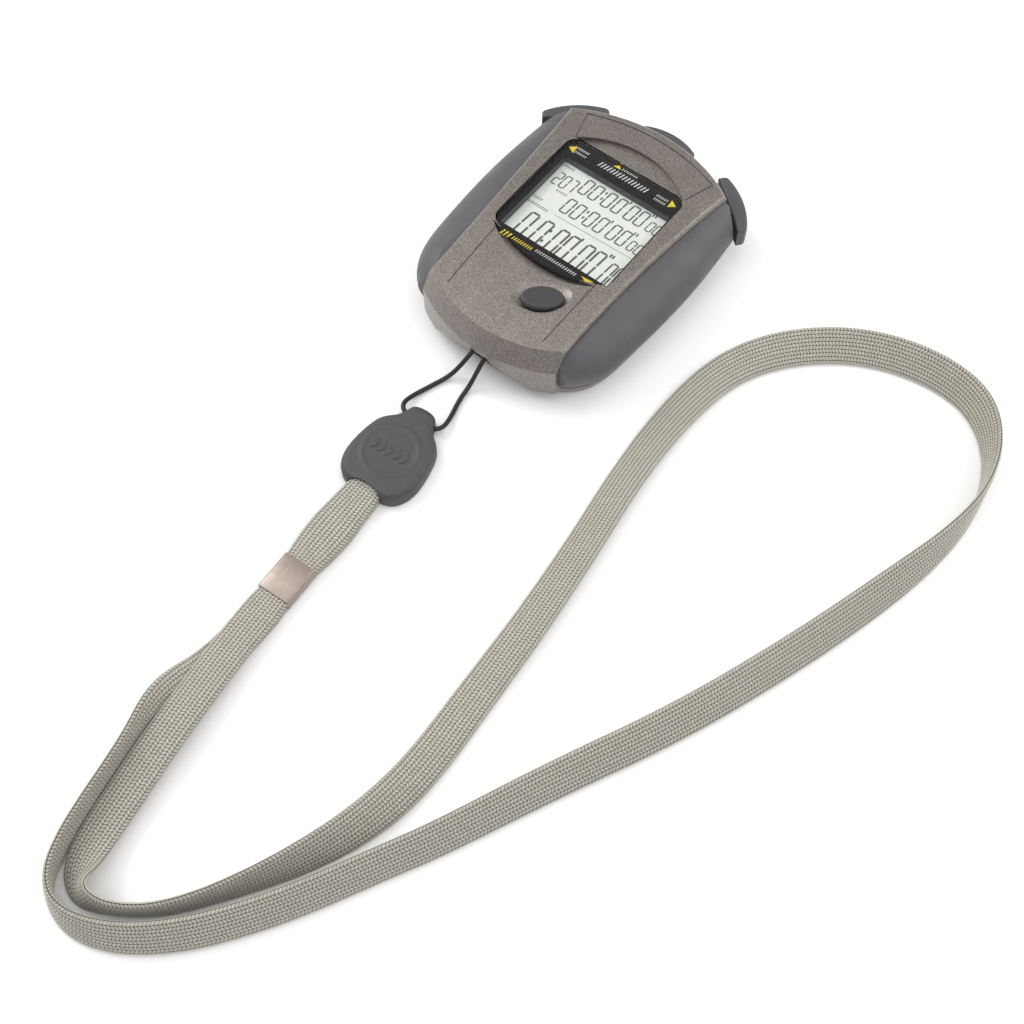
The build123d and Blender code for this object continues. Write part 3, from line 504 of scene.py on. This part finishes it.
potting = Finish("potting")
potting.colour(potting.ramp(potting.noise(0.3), shades(tone(18, 18, 19), tone(34, 34, 36))))
potting.rough(potting.span(potting.noise(2.0), 0.12, 0.26))
potting.relief((potting.noise(1.6, 1.0), 0.04))

bright_steel = brushed("bright_steel", tone(222, 222, 222), tone(186, 186, 188), (1, 0.06, 1), 0.2, 0.34)
buzzer_brass = brushed("buzzer_brass", tone(222, 188, 110), tone(190, 152, 76), (1, 0.06, 1), 0.22, 0.36)
ferrule_metal = brushed("ferrule_metal", tone(174, 161, 153), tone(142, 130, 122), (1, 0.05, 1), 0.4, 0.5)

window_clear = bpy.data.materials.new("window_clear")
window_clear.use_nodes = True
tree = window_clear.node_tree
tree.nodes.remove(tree.nodes["Principled BSDF"])
through = tree.nodes.new("ShaderNodeBsdfTransparent")
through.inputs["Color"].default_value = (0.995, 0.998, 0.996, 1.0)
mirror = tree.nodes.new("ShaderNodeBsdfGlossy")
mirror.inputs["Color"].default_value = (0.6, 0.6, 0.6, 1.0)
mirror.inputs["Roughness"].default_value = 0.04
edge_on = tree.nodes.new("ShaderNodeFresnel")
edge_on.inputs["IOR"].default_value = 1.25
pane = tree.nodes.new("ShaderNodeMixShader")
tree.links.new(edge_on.outputs["Fac"], pane.inputs["Fac"])
tree.links.new(through.outputs["BSDF"], pane.inputs[1])
tree.links.new(mirror.outputs["BSDF"], pane.inputs[2])
tree.links.new(pane.outputs["Shader"], tree.nodes["Material Output"].inputs["Surface"])


def woven(name, painted_gap_shade, low, high, spread, rough, depth, **constants):
    """Braided yarn: painted shade, a dark colour in the gaps between the threads, each thread its own random
    tone, with fine fibres along it.
    """
    finish = Finish(name, Roughness=rough, **constants)
    raised = finish.add("ShaderNodeAttribute", attribute_name="thread").outputs["Fac"]
    shade = finish.add("ShaderNodeAttribute", attribute_name="shade").outputs["Fac"]
    threads = finish.add("ShaderNodeUVMap", uv_map="threads").outputs["UV"]
    fibre = finish.add("ShaderNodeTexNoise")
    fibre.inputs["Scale"].default_value = 1.0
    fibre.inputs["Detail"].default_value = 2.0
    finish.join(finish.stretched(threads, (1.6, 13.0, 1.0)), fibre.inputs["Vector"])
    yarn = finish.blend(finish.span(shade, 0.0, spread, 0.0, 1.0),
                        finish.ramp(fibre.outputs["Fac"], [(0.32, low), (0.68, high)]), low)
    # painted shade: the yarn turns to the dark gap colour where the threads meet, standing in for the shade
    # in the crevices between them
    on_thread = finish.ramp(raised, [(0.22, (0, 0, 0, 1)), (0.62, (1, 1, 1, 1))])
    finish.colour(finish.blend(on_thread, painted_gap_shade, yarn))
    return finish.relief((fibre.outputs["Fac"], depth))


# the second colour of each yarn is painted shade for the crevices between its threads
strap_yarn = woven("strap_yarn", tone(50, 47, 40), tone(166, 162, 150), tone(206, 202, 190), 0.55, 0.85, 0.03,
                   Sheen_Weight=0.25, Sheen_Roughness=0.5)
cord_yarn = woven("cord_yarn", tone(12, 10, 10), tone(26, 23, 22), tone(42, 38, 37), 0.6, 0.5, 0.02,
                  Sheen_Weight=0.2, Sheen_Roughness=0.4)

finishes = {
    case_lacquer.material: ["front_case"],
    rear_plastic.material: ["rear_case"],
    grip_rubber.material: ["left_grip", "right_grip"],
    button_rubber.material: ["start_button", "reset_button", "recall_button"],
    mode_rubber.material: ["mode_button"],
    border_print.material: ["window_border"],
    frame_plastic.material: ["lcd_frame"],
    display_face.material: ["lcd_panel"],
    reflector.material: ["lcd_backing", "module_holder"],
    elastomer.material: ["connector_strips"],
    board.material: ["circuit_board"],
    potting.material: ["timing_chip"],
    bright_steel.material: ["quartz_crystal", "coin_battery", "battery_contact_negative",
                            "battery_contact_positive", "buzzer_spring", "case_screws", "lanyard_pin"],
    buzzer_brass.material: ["piezo_buzzer"],
    seal_rubber.material: ["cover_seal", "case_gasket", "start_seal", "reset_seal", "recall_seal"],
    switch_plastic.material: ["start_switch", "reset_switch", "recall_switch", "mode_switch"],
    plunger_plastic.material: ["start_plunger", "reset_plunger", "recall_plunger", "mode_plunger"],
    cover_plastic.material: ["battery_cover"],
}


def paint(obj, material):
    """Gives a piece one material."""
    obj.data.materials.clear()
    obj.data.materials.append(material)


PRINT_ROOM = 0.08 * MM


def standing_clear(name, node, body):
    """A copy of a node whose underside stands clear of the print below it."""
    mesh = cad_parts[node].data.copy()
    obj = bpy.data.objects.new(name, mesh)
    floor_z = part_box(node)[0][2]
    bm = bmesh.new()
    bm.from_mesh(mesh)
    bmesh.ops.remove_doubles(bm, verts=bm.verts, dist=1e-7)
    for vertex in bm.verts:
        if vertex.co.z < floor_z + 0.5 * PRINT_ROOM:
            vertex.co.z = floor_z + PRINT_ROOM
    bm.to_mesh(mesh)
    bm.free()
    scene.collection.objects.link(obj)
    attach(obj, body)
    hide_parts(node)
    return obj


window_pane = standing_clear("window_pane", "display_window", "case")


for material, nodes in finishes.items():
    for node in nodes:
        paint(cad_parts[node], material)
paint(thin_cord, cord_yarn.material)
paint(flat_strap, strap_yarn.material)
paint(window_pane, window_clear)


# ---- Marks on the display and round the window --------------------------------------------
# a stroke of length and width one, pointed at both ends
STROKE_SIDES = ((-0.5, 0.0), (-0.42, -0.5), (0.42, -0.5), (0.5, 0.0), (0.42, 0.5), (-0.42, 0.5))


def plate(name, outlines, low, high):
    """Flat plates with straight walls, one for each outline, in millimetres."""
    verts, faces = [], []
    for outline in outlines:
        n, first = len(outline), len(verts)
        verts += [(x * MM, y * MM, z * MM) for z in (low, high) for x, y in outline]
        faces += [[first + n + k for k in range(n)], [first + k for k in reversed(range(n))]]
        faces += [[first + k, first + (k + 1) % n, first + n + (k + 1) % n, first + n + k] for k in range(n)]
    mesh = bpy.data.meshes.new(name)
    mesh.from_pydata(verts, [], faces)
    obj = bpy.data.objects.new(name, mesh)
    face_outwards(obj)
    return obj


def stroke_tree():
    """Sets one stroke at each point, turned and stretched by what the point carries."""
    tree = bpy.data.node_groups.new("strokes", "GeometryNodeTree")
    sockets = {}
    kinds = {"Places": "Geometry", "Stroke": "Object", "Thickness": "Float", "Finish": "Material"}
    for label, kind in kinds.items():
        socket = tree.interface.new_socket(label, in_out="INPUT", socket_type="NodeSocket" + kind)
        sockets[label] = socket.identifier
    tree.interface.new_socket("Strokes", in_out="OUTPUT", socket_type="NodeSocketGeometry")
    add, join = tree.nodes.new, tree.links.new
    given, result = add("NodeGroupInput"), add("NodeGroupOutput")
    turn, size = add("ShaderNodeCombineXYZ"), add("ShaderNodeCombineXYZ")
    for label, target in (("turn", turn.inputs["Z"]), ("long", size.inputs["X"]), ("wide", size.inputs["Y"])):
        carried = add("GeometryNodeInputNamedAttribute")
        carried.data_type = "FLOAT"
        carried.inputs["Name"].default_value = label
        join(carried.outputs["Attribute"], target)
    join(given.outputs["Thickness"], size.inputs["Z"])
    shape, place = add("GeometryNodeObjectInfo"), add("GeometryNodeInstanceOnPoints")
    join(given.outputs["Stroke"], shape.inputs["Object"])
    join(given.outputs["Places"], place.inputs["Points"])
    join(shape.outputs["Geometry"], place.inputs["Instance"])
    join(turn.outputs["Vector"], place.inputs["Rotation"])
    join(size.outputs["Vector"], place.inputs["Scale"])
    real, coat = add("GeometryNodeRealizeInstances"), add("GeometryNodeSetMaterial")
    join(place.outputs["Instances"], real.inputs["Geometry"])
    join(real.outputs["Geometry"], coat.inputs["Geometry"])
    join(given.outputs["Finish"], coat.inputs["Material"])
    join(coat.outputs["Geometry"], result.inputs["Strokes"])
    return tree, sockets


STROKES, STROKE_INPUTS = stroke_tree()
stroke = plate("stroke", [STROKE_SIDES], 0.0, 1.0)
stroke.data.transform(Matrix.Diagonal((1 / MM, 1 / MM, 1 / MM, 1.0)))


PRINT_THICKNESS = 0.03


def strokes(name, bars, height, finish, body="case", thickness=PRINT_THICKNESS):
    """One mesh of flat strokes, each given by its two ends and its width in millimetres."""
    bars = np.array(bars, float)
    run = bars[:, 2:4] - bars[:, 0:2]
    middle = (bars[:, 2:4] + bars[:, 0:2]) / 2
    mesh = bpy.data.meshes.new(name)
    mesh.from_pydata([(x * MM, y * MM, height * MM) for x, y in middle], [], [])
    carried = {"turn": np.arctan2(run[:, 1], run[:, 0]), "long": np.hypot(run[:, 0], run[:, 1]) * MM,
               "wide": bars[:, 4] * MM}
    for label, values in carried.items():
        carry(mesh, label, values)
    places = bpy.data.objects.new(name + "_places", mesh)
    scene.collection.objects.link(places)
    maker = places.modifiers.new("strokes", "NODES")
    maker.node_group = STROKES
    maker[STROKE_INPUTS["Stroke"]] = stroke
    maker[STROKE_INPUTS["Thickness"]] = thickness * MM
    maker[STROKE_INPUTS["Finish"]] = finish.material
    bpy.context.view_layer.update()
    graph = bpy.context.evaluated_depsgraph_get()
    made = bpy.data.objects.new(name, bpy.data.meshes.new_from_object(places.evaluated_get(graph)))
    bpy.data.objects.remove(places)
    scene.collection.objects.link(made)
    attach(made, body)
    return made


SEGMENTS = {"0": "abcdef", "2": "abged", "7": "abc"}
FIGURE_LEAN = 0.07
END_TRIM = 0.12


def figure(which, left, base, width, height, weight):
    """The strokes of one seven-segment figure, from the left end of its base."""
    w, h = width - weight, height - weight
    ends = {"a": (0, h, w, h), "b": (w, h, w, h / 2), "c": (w, h / 2, w, 0), "d": (0, 0, w, 0),
            "e": (0, h / 2, 0, 0), "f": (0, h, 0, h / 2), "g": (0, h / 2, w, h / 2)}
    made = []
    for x0, y0, x1, y1 in (ends[key] for key in SEGMENTS[which]):
        x0, x1 = x0 + FIGURE_LEAN * y0, x1 + FIGURE_LEAN * y1
        trim = END_TRIM * weight / math.hypot(x1 - x0, y1 - y0)
        dx, dy = (x1 - x0) * trim, (y1 - y0) * trim
        made.append((left + weight / 2 + x0 + dx, base + weight / 2 + y0 + dy,
                     left + weight / 2 + x1 - dx, base + weight / 2 + y1 - dy, weight))
    return made


def upright(x, low, high, weight):
    """A single leaning stroke, as in a colon, a minute mark or a tick."""
    return (x, low, x + FIGURE_LEAN * (high - low), high, weight)


def ticks(left, right, low, high, pitch, weight, lean=0.0):
    """An even row of strokes."""
    feet = [left + k * pitch for k in range(int((right - left) / pitch) + 1)]
    return [(foot, low, foot + lean * (high - low), high, weight) for foot in feet]


# sizes of the small figures and of the marks, as shares of the row's own figures
SMALL_WIDTH, SMALL_WEIGHT = 0.72, 0.8
SMALL_HEIGHT, SMALL_HEIGHT_IN_TALL_ROW, TALL_ROW = 0.66, 0.86, 8
COLON_PLACES, COLON_WEIGHT, COLON_DOT = (0.28, 0.68), 1.1, 1.0
MARK_WEIGHT, MARK_GAP = 0.9, 0.8


def time_row(lefts, small, base, width, height, weight, colon, minute, second):
    """One row of the display: six figures, two small ones, and the marks between them."""
    small_height = height * (SMALL_HEIGHT if height < TALL_ROW else SMALL_HEIGHT_IN_TALL_ROW)
    bars = []
    for left in lefts:
        bars += figure("0", left, base, width, height, weight)
    for left in small:
        bars += figure("0", left, base + 0.1, width * SMALL_WIDTH, small_height, weight * SMALL_WEIGHT)
    top = base + height
    for share in COLON_PLACES:
        low = base + share * height
        bars.append(upright(colon, low, low + COLON_DOT, weight * COLON_WEIGHT))
    bars.append(upright(minute, top - 0.7, top + 0.5, weight * MARK_WEIGHT))
    bars += [upright(second + k * MARK_GAP, top - 0.5, top + 0.7, weight * MARK_WEIGHT) for k in (0, 1)]
    return bars


display_strokes = []
for which, left in (("2", -15.5), ("0", -13.2), ("7", -10.9)):
    display_strokes += figure(which, left, 8.1, 1.95, 4.8, 0.38)
upper_lefts = (-8.0, -4.9, -0.8, 2.4, 6.4, 9.5)
lower_lefts = (-13.7, -8.9, -4.0, -0.6, 4.2, 7.7)
display_strokes += time_row(upper_lefts, (13.3, 15.4), 9.6, 2.5, 5.6, 0.44, -1.3, 5.6, 12.7)
display_strokes += time_row(upper_lefts, (13.0, 15.2), 1.6, 2.5, 5.6, 0.44, -1.4, 5.5, 12.3)
display_strokes += time_row(lower_lefts, (12.9, 15.3), -12.1, 3.0, 9.8, 0.62, -5.3, 2.9, 11.7)
LCD_SLOPE = 0.022
display_strokes = [(a, b + LCD_SLOPE * a, c, d + LCD_SLOPE * c, weight)
                   for a, b, c, d, weight in display_strokes]
display_strokes.append((-8.6, -0.2, 16.8, 0.5, 0.13))
WORD_HEIGHT = 0.95
for left, right, low in ((-16.6, -12.8, 14.4), (-12.3, -8.9, 6.3), (-16.5, -13.6, 1.2), (-16.1, -9.8, -0.9)):
    display_strokes += ticks(left, right, low, low + WORD_HEIGHT, 0.72, 0.26, 0.25)
lcd_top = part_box("lcd_panel")[1][2] / MM
display_figures = strokes("display_figures", display_strokes, lcd_top, digit_ink)

border_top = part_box("window_border")[1][2] / MM
graduation = ticks(-7.6, 7.2, 18.2, 20.1, 0.98, 0.34, 0.35)
graduation += ticks(-15.0, -11.6, 19.5, 20.3, 0.62, 0.24, 0.2)
graduation += ticks(-15.0, -11.6, 18.1, 18.9, 0.62, 0.24, 0.2)
graduation += ticks(-1.5, 2.9, 20.9, 21.6, 0.62, 0.22, 0.2)
graduation += ticks(10.6, 13.9, 19.3, 20.1, 0.62, 0.24, 0.2)
graduation += ticks(10.6, 13.9, 18.0, 18.8, 0.62, 0.24, 0.2)
graduation += ticks(-3.4, 9.2, -14.4, -13.4, 0.72, 0.26, 0.3)
white_marks = strokes("white_marks", graduation, border_top, white_print)
memory_ticks = ticks(-14.0, -11.6, -15.2, -13.4, 1.05, 0.5, 0.25)
memory_ticks += ticks(-10.6, -4.6, -14.9, -13.7, 0.72, 0.3, 0.3)
yellow_marks = strokes("yellow_marks", memory_ticks, border_top, yellow_print)
arrows = [((-17.4, 18.8), (-15.3, 17.6), (-15.5, 20.3)), ((-4.3, 20.7), (-1.9, 20.8), (-2.9, 21.8)),
          ((14.8, 18.1), (16.7, 19.5), (14.7, 20.7)), ((10.5, -13.3), (12.6, -14.3), (14.2, -13.0))]
yellow_arrows = plate("yellow_arrows", arrows, border_top, border_top + PRINT_THICKNESS)
scene.collection.objects.link(yellow_arrows)
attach(yellow_arrows, "case")
paint(yellow_arrows, yellow_print.material)


# ---- Tag and ferrule ----------------------------------------------------------------------
def skin(name, rings, hoop=False):
    """A closed skin over rings with equally many points: capped at both ends, or joined into a hoop."""
    rings = np.array(rings)
    rows, count = rings.shape[:2]
    faces = []
    for i in range(rows if hoop else rows - 1):
        a, b = i * count, ((i + 1) % rows) * count
        faces += [(a + k, a + (k + 1) % count, b + (k + 1) % count, b + k) for k in range(count)]
    if not hoop:
        faces += [list(range(count)), list(range((rows - 1) * count, rows * count))]
    mesh = bpy.data.meshes.new(name)
    mesh.from_pydata((rings.reshape(-1, 3) * MM).tolist(), [], faces)
    obj = bpy.data.objects.new(name, mesh)
    scene.collection.objects.link(obj)
    face_outwards(obj)
    return obj


def softened(outline, rounds):
    """A closed outline with its corners cut round."""
    points = np.array(outline, float)
    for _ in range(rounds):
        ahead = np.roll(points, -1, axis=0)
        points = np.stack([0.75 * points + 0.25 * ahead, 0.25 * points + 0.75 * ahead], axis=1).reshape(-1, 2)
    return points


def shrunk(points, inset):
    """A closed outline moved inwards."""
    along = np.roll(points, -1, axis=0) - np.roll(points, 1, axis=0)
    along /= np.linalg.norm(along, axis=1, keepdims=True)
    return points - inset * np.column_stack([along[:, 1], -along[:, 0]])


def placed(points, origin, turn):
    """Points in a piece's own plan, put where the piece lies."""
    c, s = math.cos(math.radians(turn)), math.sin(math.radians(turn))
    points = np.asarray(points, float)
    x, y = points[..., 0], points[..., 1]
    return np.stack([origin[0] + c * x - s * y, origin[1] + s * x + c * y, points[..., 2]], axis=-1)


def cut(obj, tool):
    """Takes a tool's shape out of a piece."""
    maker = obj.modifiers.new("cut", "BOOLEAN")
    maker.operation = "DIFFERENCE"
    maker.object = tool
    maker.solver = "EXACT"
    bpy.context.view_layer.update()
    graph = bpy.context.evaluated_depsgraph_get()
    made = bpy.data.meshes.new_from_object(obj.evaluated_get(graph))
    obj.modifiers.remove(maker)
    obj.data = made
    bpy.data.objects.remove(tool)


SHARP_EDGE = 32


def smooth(obj):
    """Smooth shading, sharp where two faces meet at more than an angle."""
    obj.data.polygons.foreach_set("use_smooth", [True] * len(obj.data.polygons))
    obj.data.set_sharp_from_angle(angle=math.radians(SHARP_EDGE))


def level_ring(plan, z):
    """An outline in the plan, at one height."""
    return np.column_stack([plan, np.full(len(plan), z)])


def side_ring(plan, y):
    """An outline across the strap, at one place along it."""
    return np.column_stack([plan[:, 0], np.full(len(plan), y), plan[:, 1]])


def side_points(outline, room):
    """Two points on each side of an outline, a little way in from its corners."""
    points = []
    for a, b in zip(outline, outline[1:] + outline[:1]):
        share = room / math.dist(a, b)
        points += [np.add(np.multiply(a, 1 - share), np.multiply(b, share)),
                   np.add(np.multiply(b, 1 - share), np.multiply(a, share))]
    return points


TAG_ORIGIN, TAG_TURN, TAG_HEIGHT = (-1.55, -61.1), 5.2, 4.68
TAG_CENTRE = (-0.3, -15.1)
RIDGE_RADIUS, RIDGE_WIDTH, RIDGE_HEIGHT = 7.1, 0.62, 0.28
tag_flank = [(3.1, 0.0), (4.3, -3.0), (5.4, -5.0), (8.0, -7.0), (9.4, -9.6), (10.4, -15.0), (10.6, -20.0),
             (9.6, -23.6), (7.6, -26.0), (5.0, -27.0)]
tag_outline = softened([(-x, y) for x, y in tag_flank] + tag_flank[::-1], 4)
rings = [level_ring(shrunk(tag_outline, inset), z)
         for inset, z in ((0.5, 0.0), (0.15, 0.12), (0.0, 0.6), (0.0, 3.0), (0.12, 3.6), (0.45, 4.15),
                          (0.95, 4.5), (1.7, TAG_HEIGHT))]
brim = rings[-1][:, :2]
CROWN_RINGS, CROWN_RISE = 44, 0.08
for share in np.linspace(0.97, 0.02, CROWN_RINGS):
    plan = np.array(TAG_CENTRE) + (brim - TAG_CENTRE) * share
    reach = np.hypot(*(plan - TAG_CENTRE).T)
    ridge = RIDGE_HEIGHT * np.exp(-((reach - RIDGE_RADIUS) / RIDGE_WIDTH) ** 2)
    rings.append(np.column_stack([plan, TAG_HEIGHT + CROWN_RISE * (1 - share ** 2) + ridge]))
tag = skin("tag", [placed(ring, TAG_ORIGIN, TAG_TURN) for ring in rings])
OVAL_POINTS = 48
oval = np.array([(math.cos(a), math.sin(a))
                 for a in np.linspace(0, 2 * math.pi, OVAL_POINTS, endpoint=False)])
mouth = [side_ring(softened([(-w, -z), (w, -z), (w, z), (-w, z)], 3), 0.0) + (-0.4, y, 2.35)
         for w, z, y in ((4.7, 1.75, -22.0), (4.7, 1.75, -26.2), (5.0, 2.05, -30.0))]
cut(tag, skin("mouth", [placed(ring, TAG_ORIGIN, TAG_TURN) for ring in mouth]))
scoop = [level_ring(oval * (5.0, 2.2) + (-0.5, -27.6), z) for z in (1.5, 7.0)]
cut(tag, skin("scoop", [placed(ring, TAG_ORIGIN, TAG_TURN) for ring in scoop]))
CORD_HOLE_RADIUS = 0.8
hole = [np.column_stack([np.full(OVAL_POINTS, x), oval * CORD_HOLE_RADIUS + (-3.4, 2.4)])
        for x in (-9.0, 9.0)]
cut(tag, skin("hole", [placed(ring, TAG_ORIGIN, TAG_TURN) for ring in hole]))
smooth(tag)
paint(tag, tag_rubber.material)
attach(tag, "case")
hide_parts("strap_tag")

CHEVRONS, CHEVRON_PITCH, CHEVRON_POINT, CHEVRON_WEIGHT = 5, 2.2, 0.55, 0.55
chevrons = []
for k in range(CHEVRONS):
    x = TAG_CENTRE[0] - 4.4 + CHEVRON_PITCH * k
    low, point, high = placed([(x - CHEVRON_POINT, -16.8, 0), (x + CHEVRON_POINT, -15.1, 0),
                               (x - CHEVRON_POINT, -13.4, 0)], TAG_ORIGIN, TAG_TURN)[:, :2]
    chevrons += [(*low, *point, CHEVRON_WEIGHT), (*point, *high, CHEVRON_WEIGHT)]
CHEVRON_SINK, CHEVRON_THICKNESS = 0.1, 0.36
tag_pattern = strokes("tag_pattern", chevrons, TAG_HEIGHT - CHEVRON_SINK, tag_rubber,
                      thickness=CHEVRON_THICKNESS)

FERRULE_ORIGIN, FERRULE_TURN = (2.1, -117.3), 3.4
ferrule_box = [(-4.65, -2.0), (4.65, -2.0), (4.65, 2.0), (-4.65, 2.0)]
CORNER_ROOM = 0.8
ferrule_outline = softened(side_points(ferrule_box, CORNER_ROOM), 3)
FERRULE_CENTRE_Z = 2.05
rings = []
for y, inset in ((-5.25, 0.2), (-5.2, 0.08), (-5.0, 0.0), (5.0, 0.0),
                 (5.2, 0.08), (5.25, 0.2), (5.12, 0.42), (-5.12, 0.42)):
    rings.append(side_ring(shrunk(ferrule_outline, inset) + (0.0, FERRULE_CENTRE_Z), y))
sleeve = skin("ferrule_sleeve", [placed(ring, FERRULE_ORIGIN, FERRULE_TURN) for ring in rings], hoop=True)
smooth(sleeve)
paint(sleeve, ferrule_metal.material)
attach(sleeve, "case")
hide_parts("ferrule")
bpy.data.objects.remove(stroke)


# ---- Floor and light ----------------------------------------------------------------------
floor_mesh = bpy.data.meshes.new("floor")
floor_mesh.from_pydata([(-3, -3, 0), (3, -3, 0), (3, 3, 0), (-3, 3, 0)], [], [(0, 1, 2, 3)])
floor = bpy.data.objects.new("floor", floor_mesh)
scene.collection.objects.link(floor)
floor_finish = Finish("floor", Roughness=0.9, Specular_IOR_Level=0.1)
floor_finish.colour(floor_finish.ramp(floor_finish.noise(60.0),
                                      shades((0.97, 0.97, 0.97, 1), (0.99, 0.99, 0.99, 1))))
paint(floor, floor_finish.material)

scene.view_settings.view_transform = "Standard"
world = bpy.data.worlds.new("studio")
world.use_nodes = True
sky = world.node_tree.nodes["Background"]
sky.inputs["Color"].default_value = (1.0, 1.0, 1.0, 1.0)
sky.inputs["Strength"].default_value = 0.62
scene.world = world


def softbox(name, place, size, watts, target=(0.03, -0.07, 0.0)):
    """A rectangular lamp that faces the strap's middle."""
    data = bpy.data.lights.new(name, "AREA")
    data.shape = "RECTANGLE"
    data.size, data.size_y = size
    data.energy = watts
    lamp = bpy.data.objects.new(name, data)
    lamp.location = place
    scene.collection.objects.link(lamp)
    aim(lamp, target)


softbox("key", (-0.72, -0.08, 0.62), (0.5, 0.6), 4.4)
softbox("fill", (0.62, 0.05, 0.6), (0.7, 0.5), 1.5)
softbox("rim", (0.3, 0.62, 0.42), (0.6, 0.2), 1.8)
softbox("top", (0.0, -0.1, 0.95), (0.8, 0.8), 2.4)
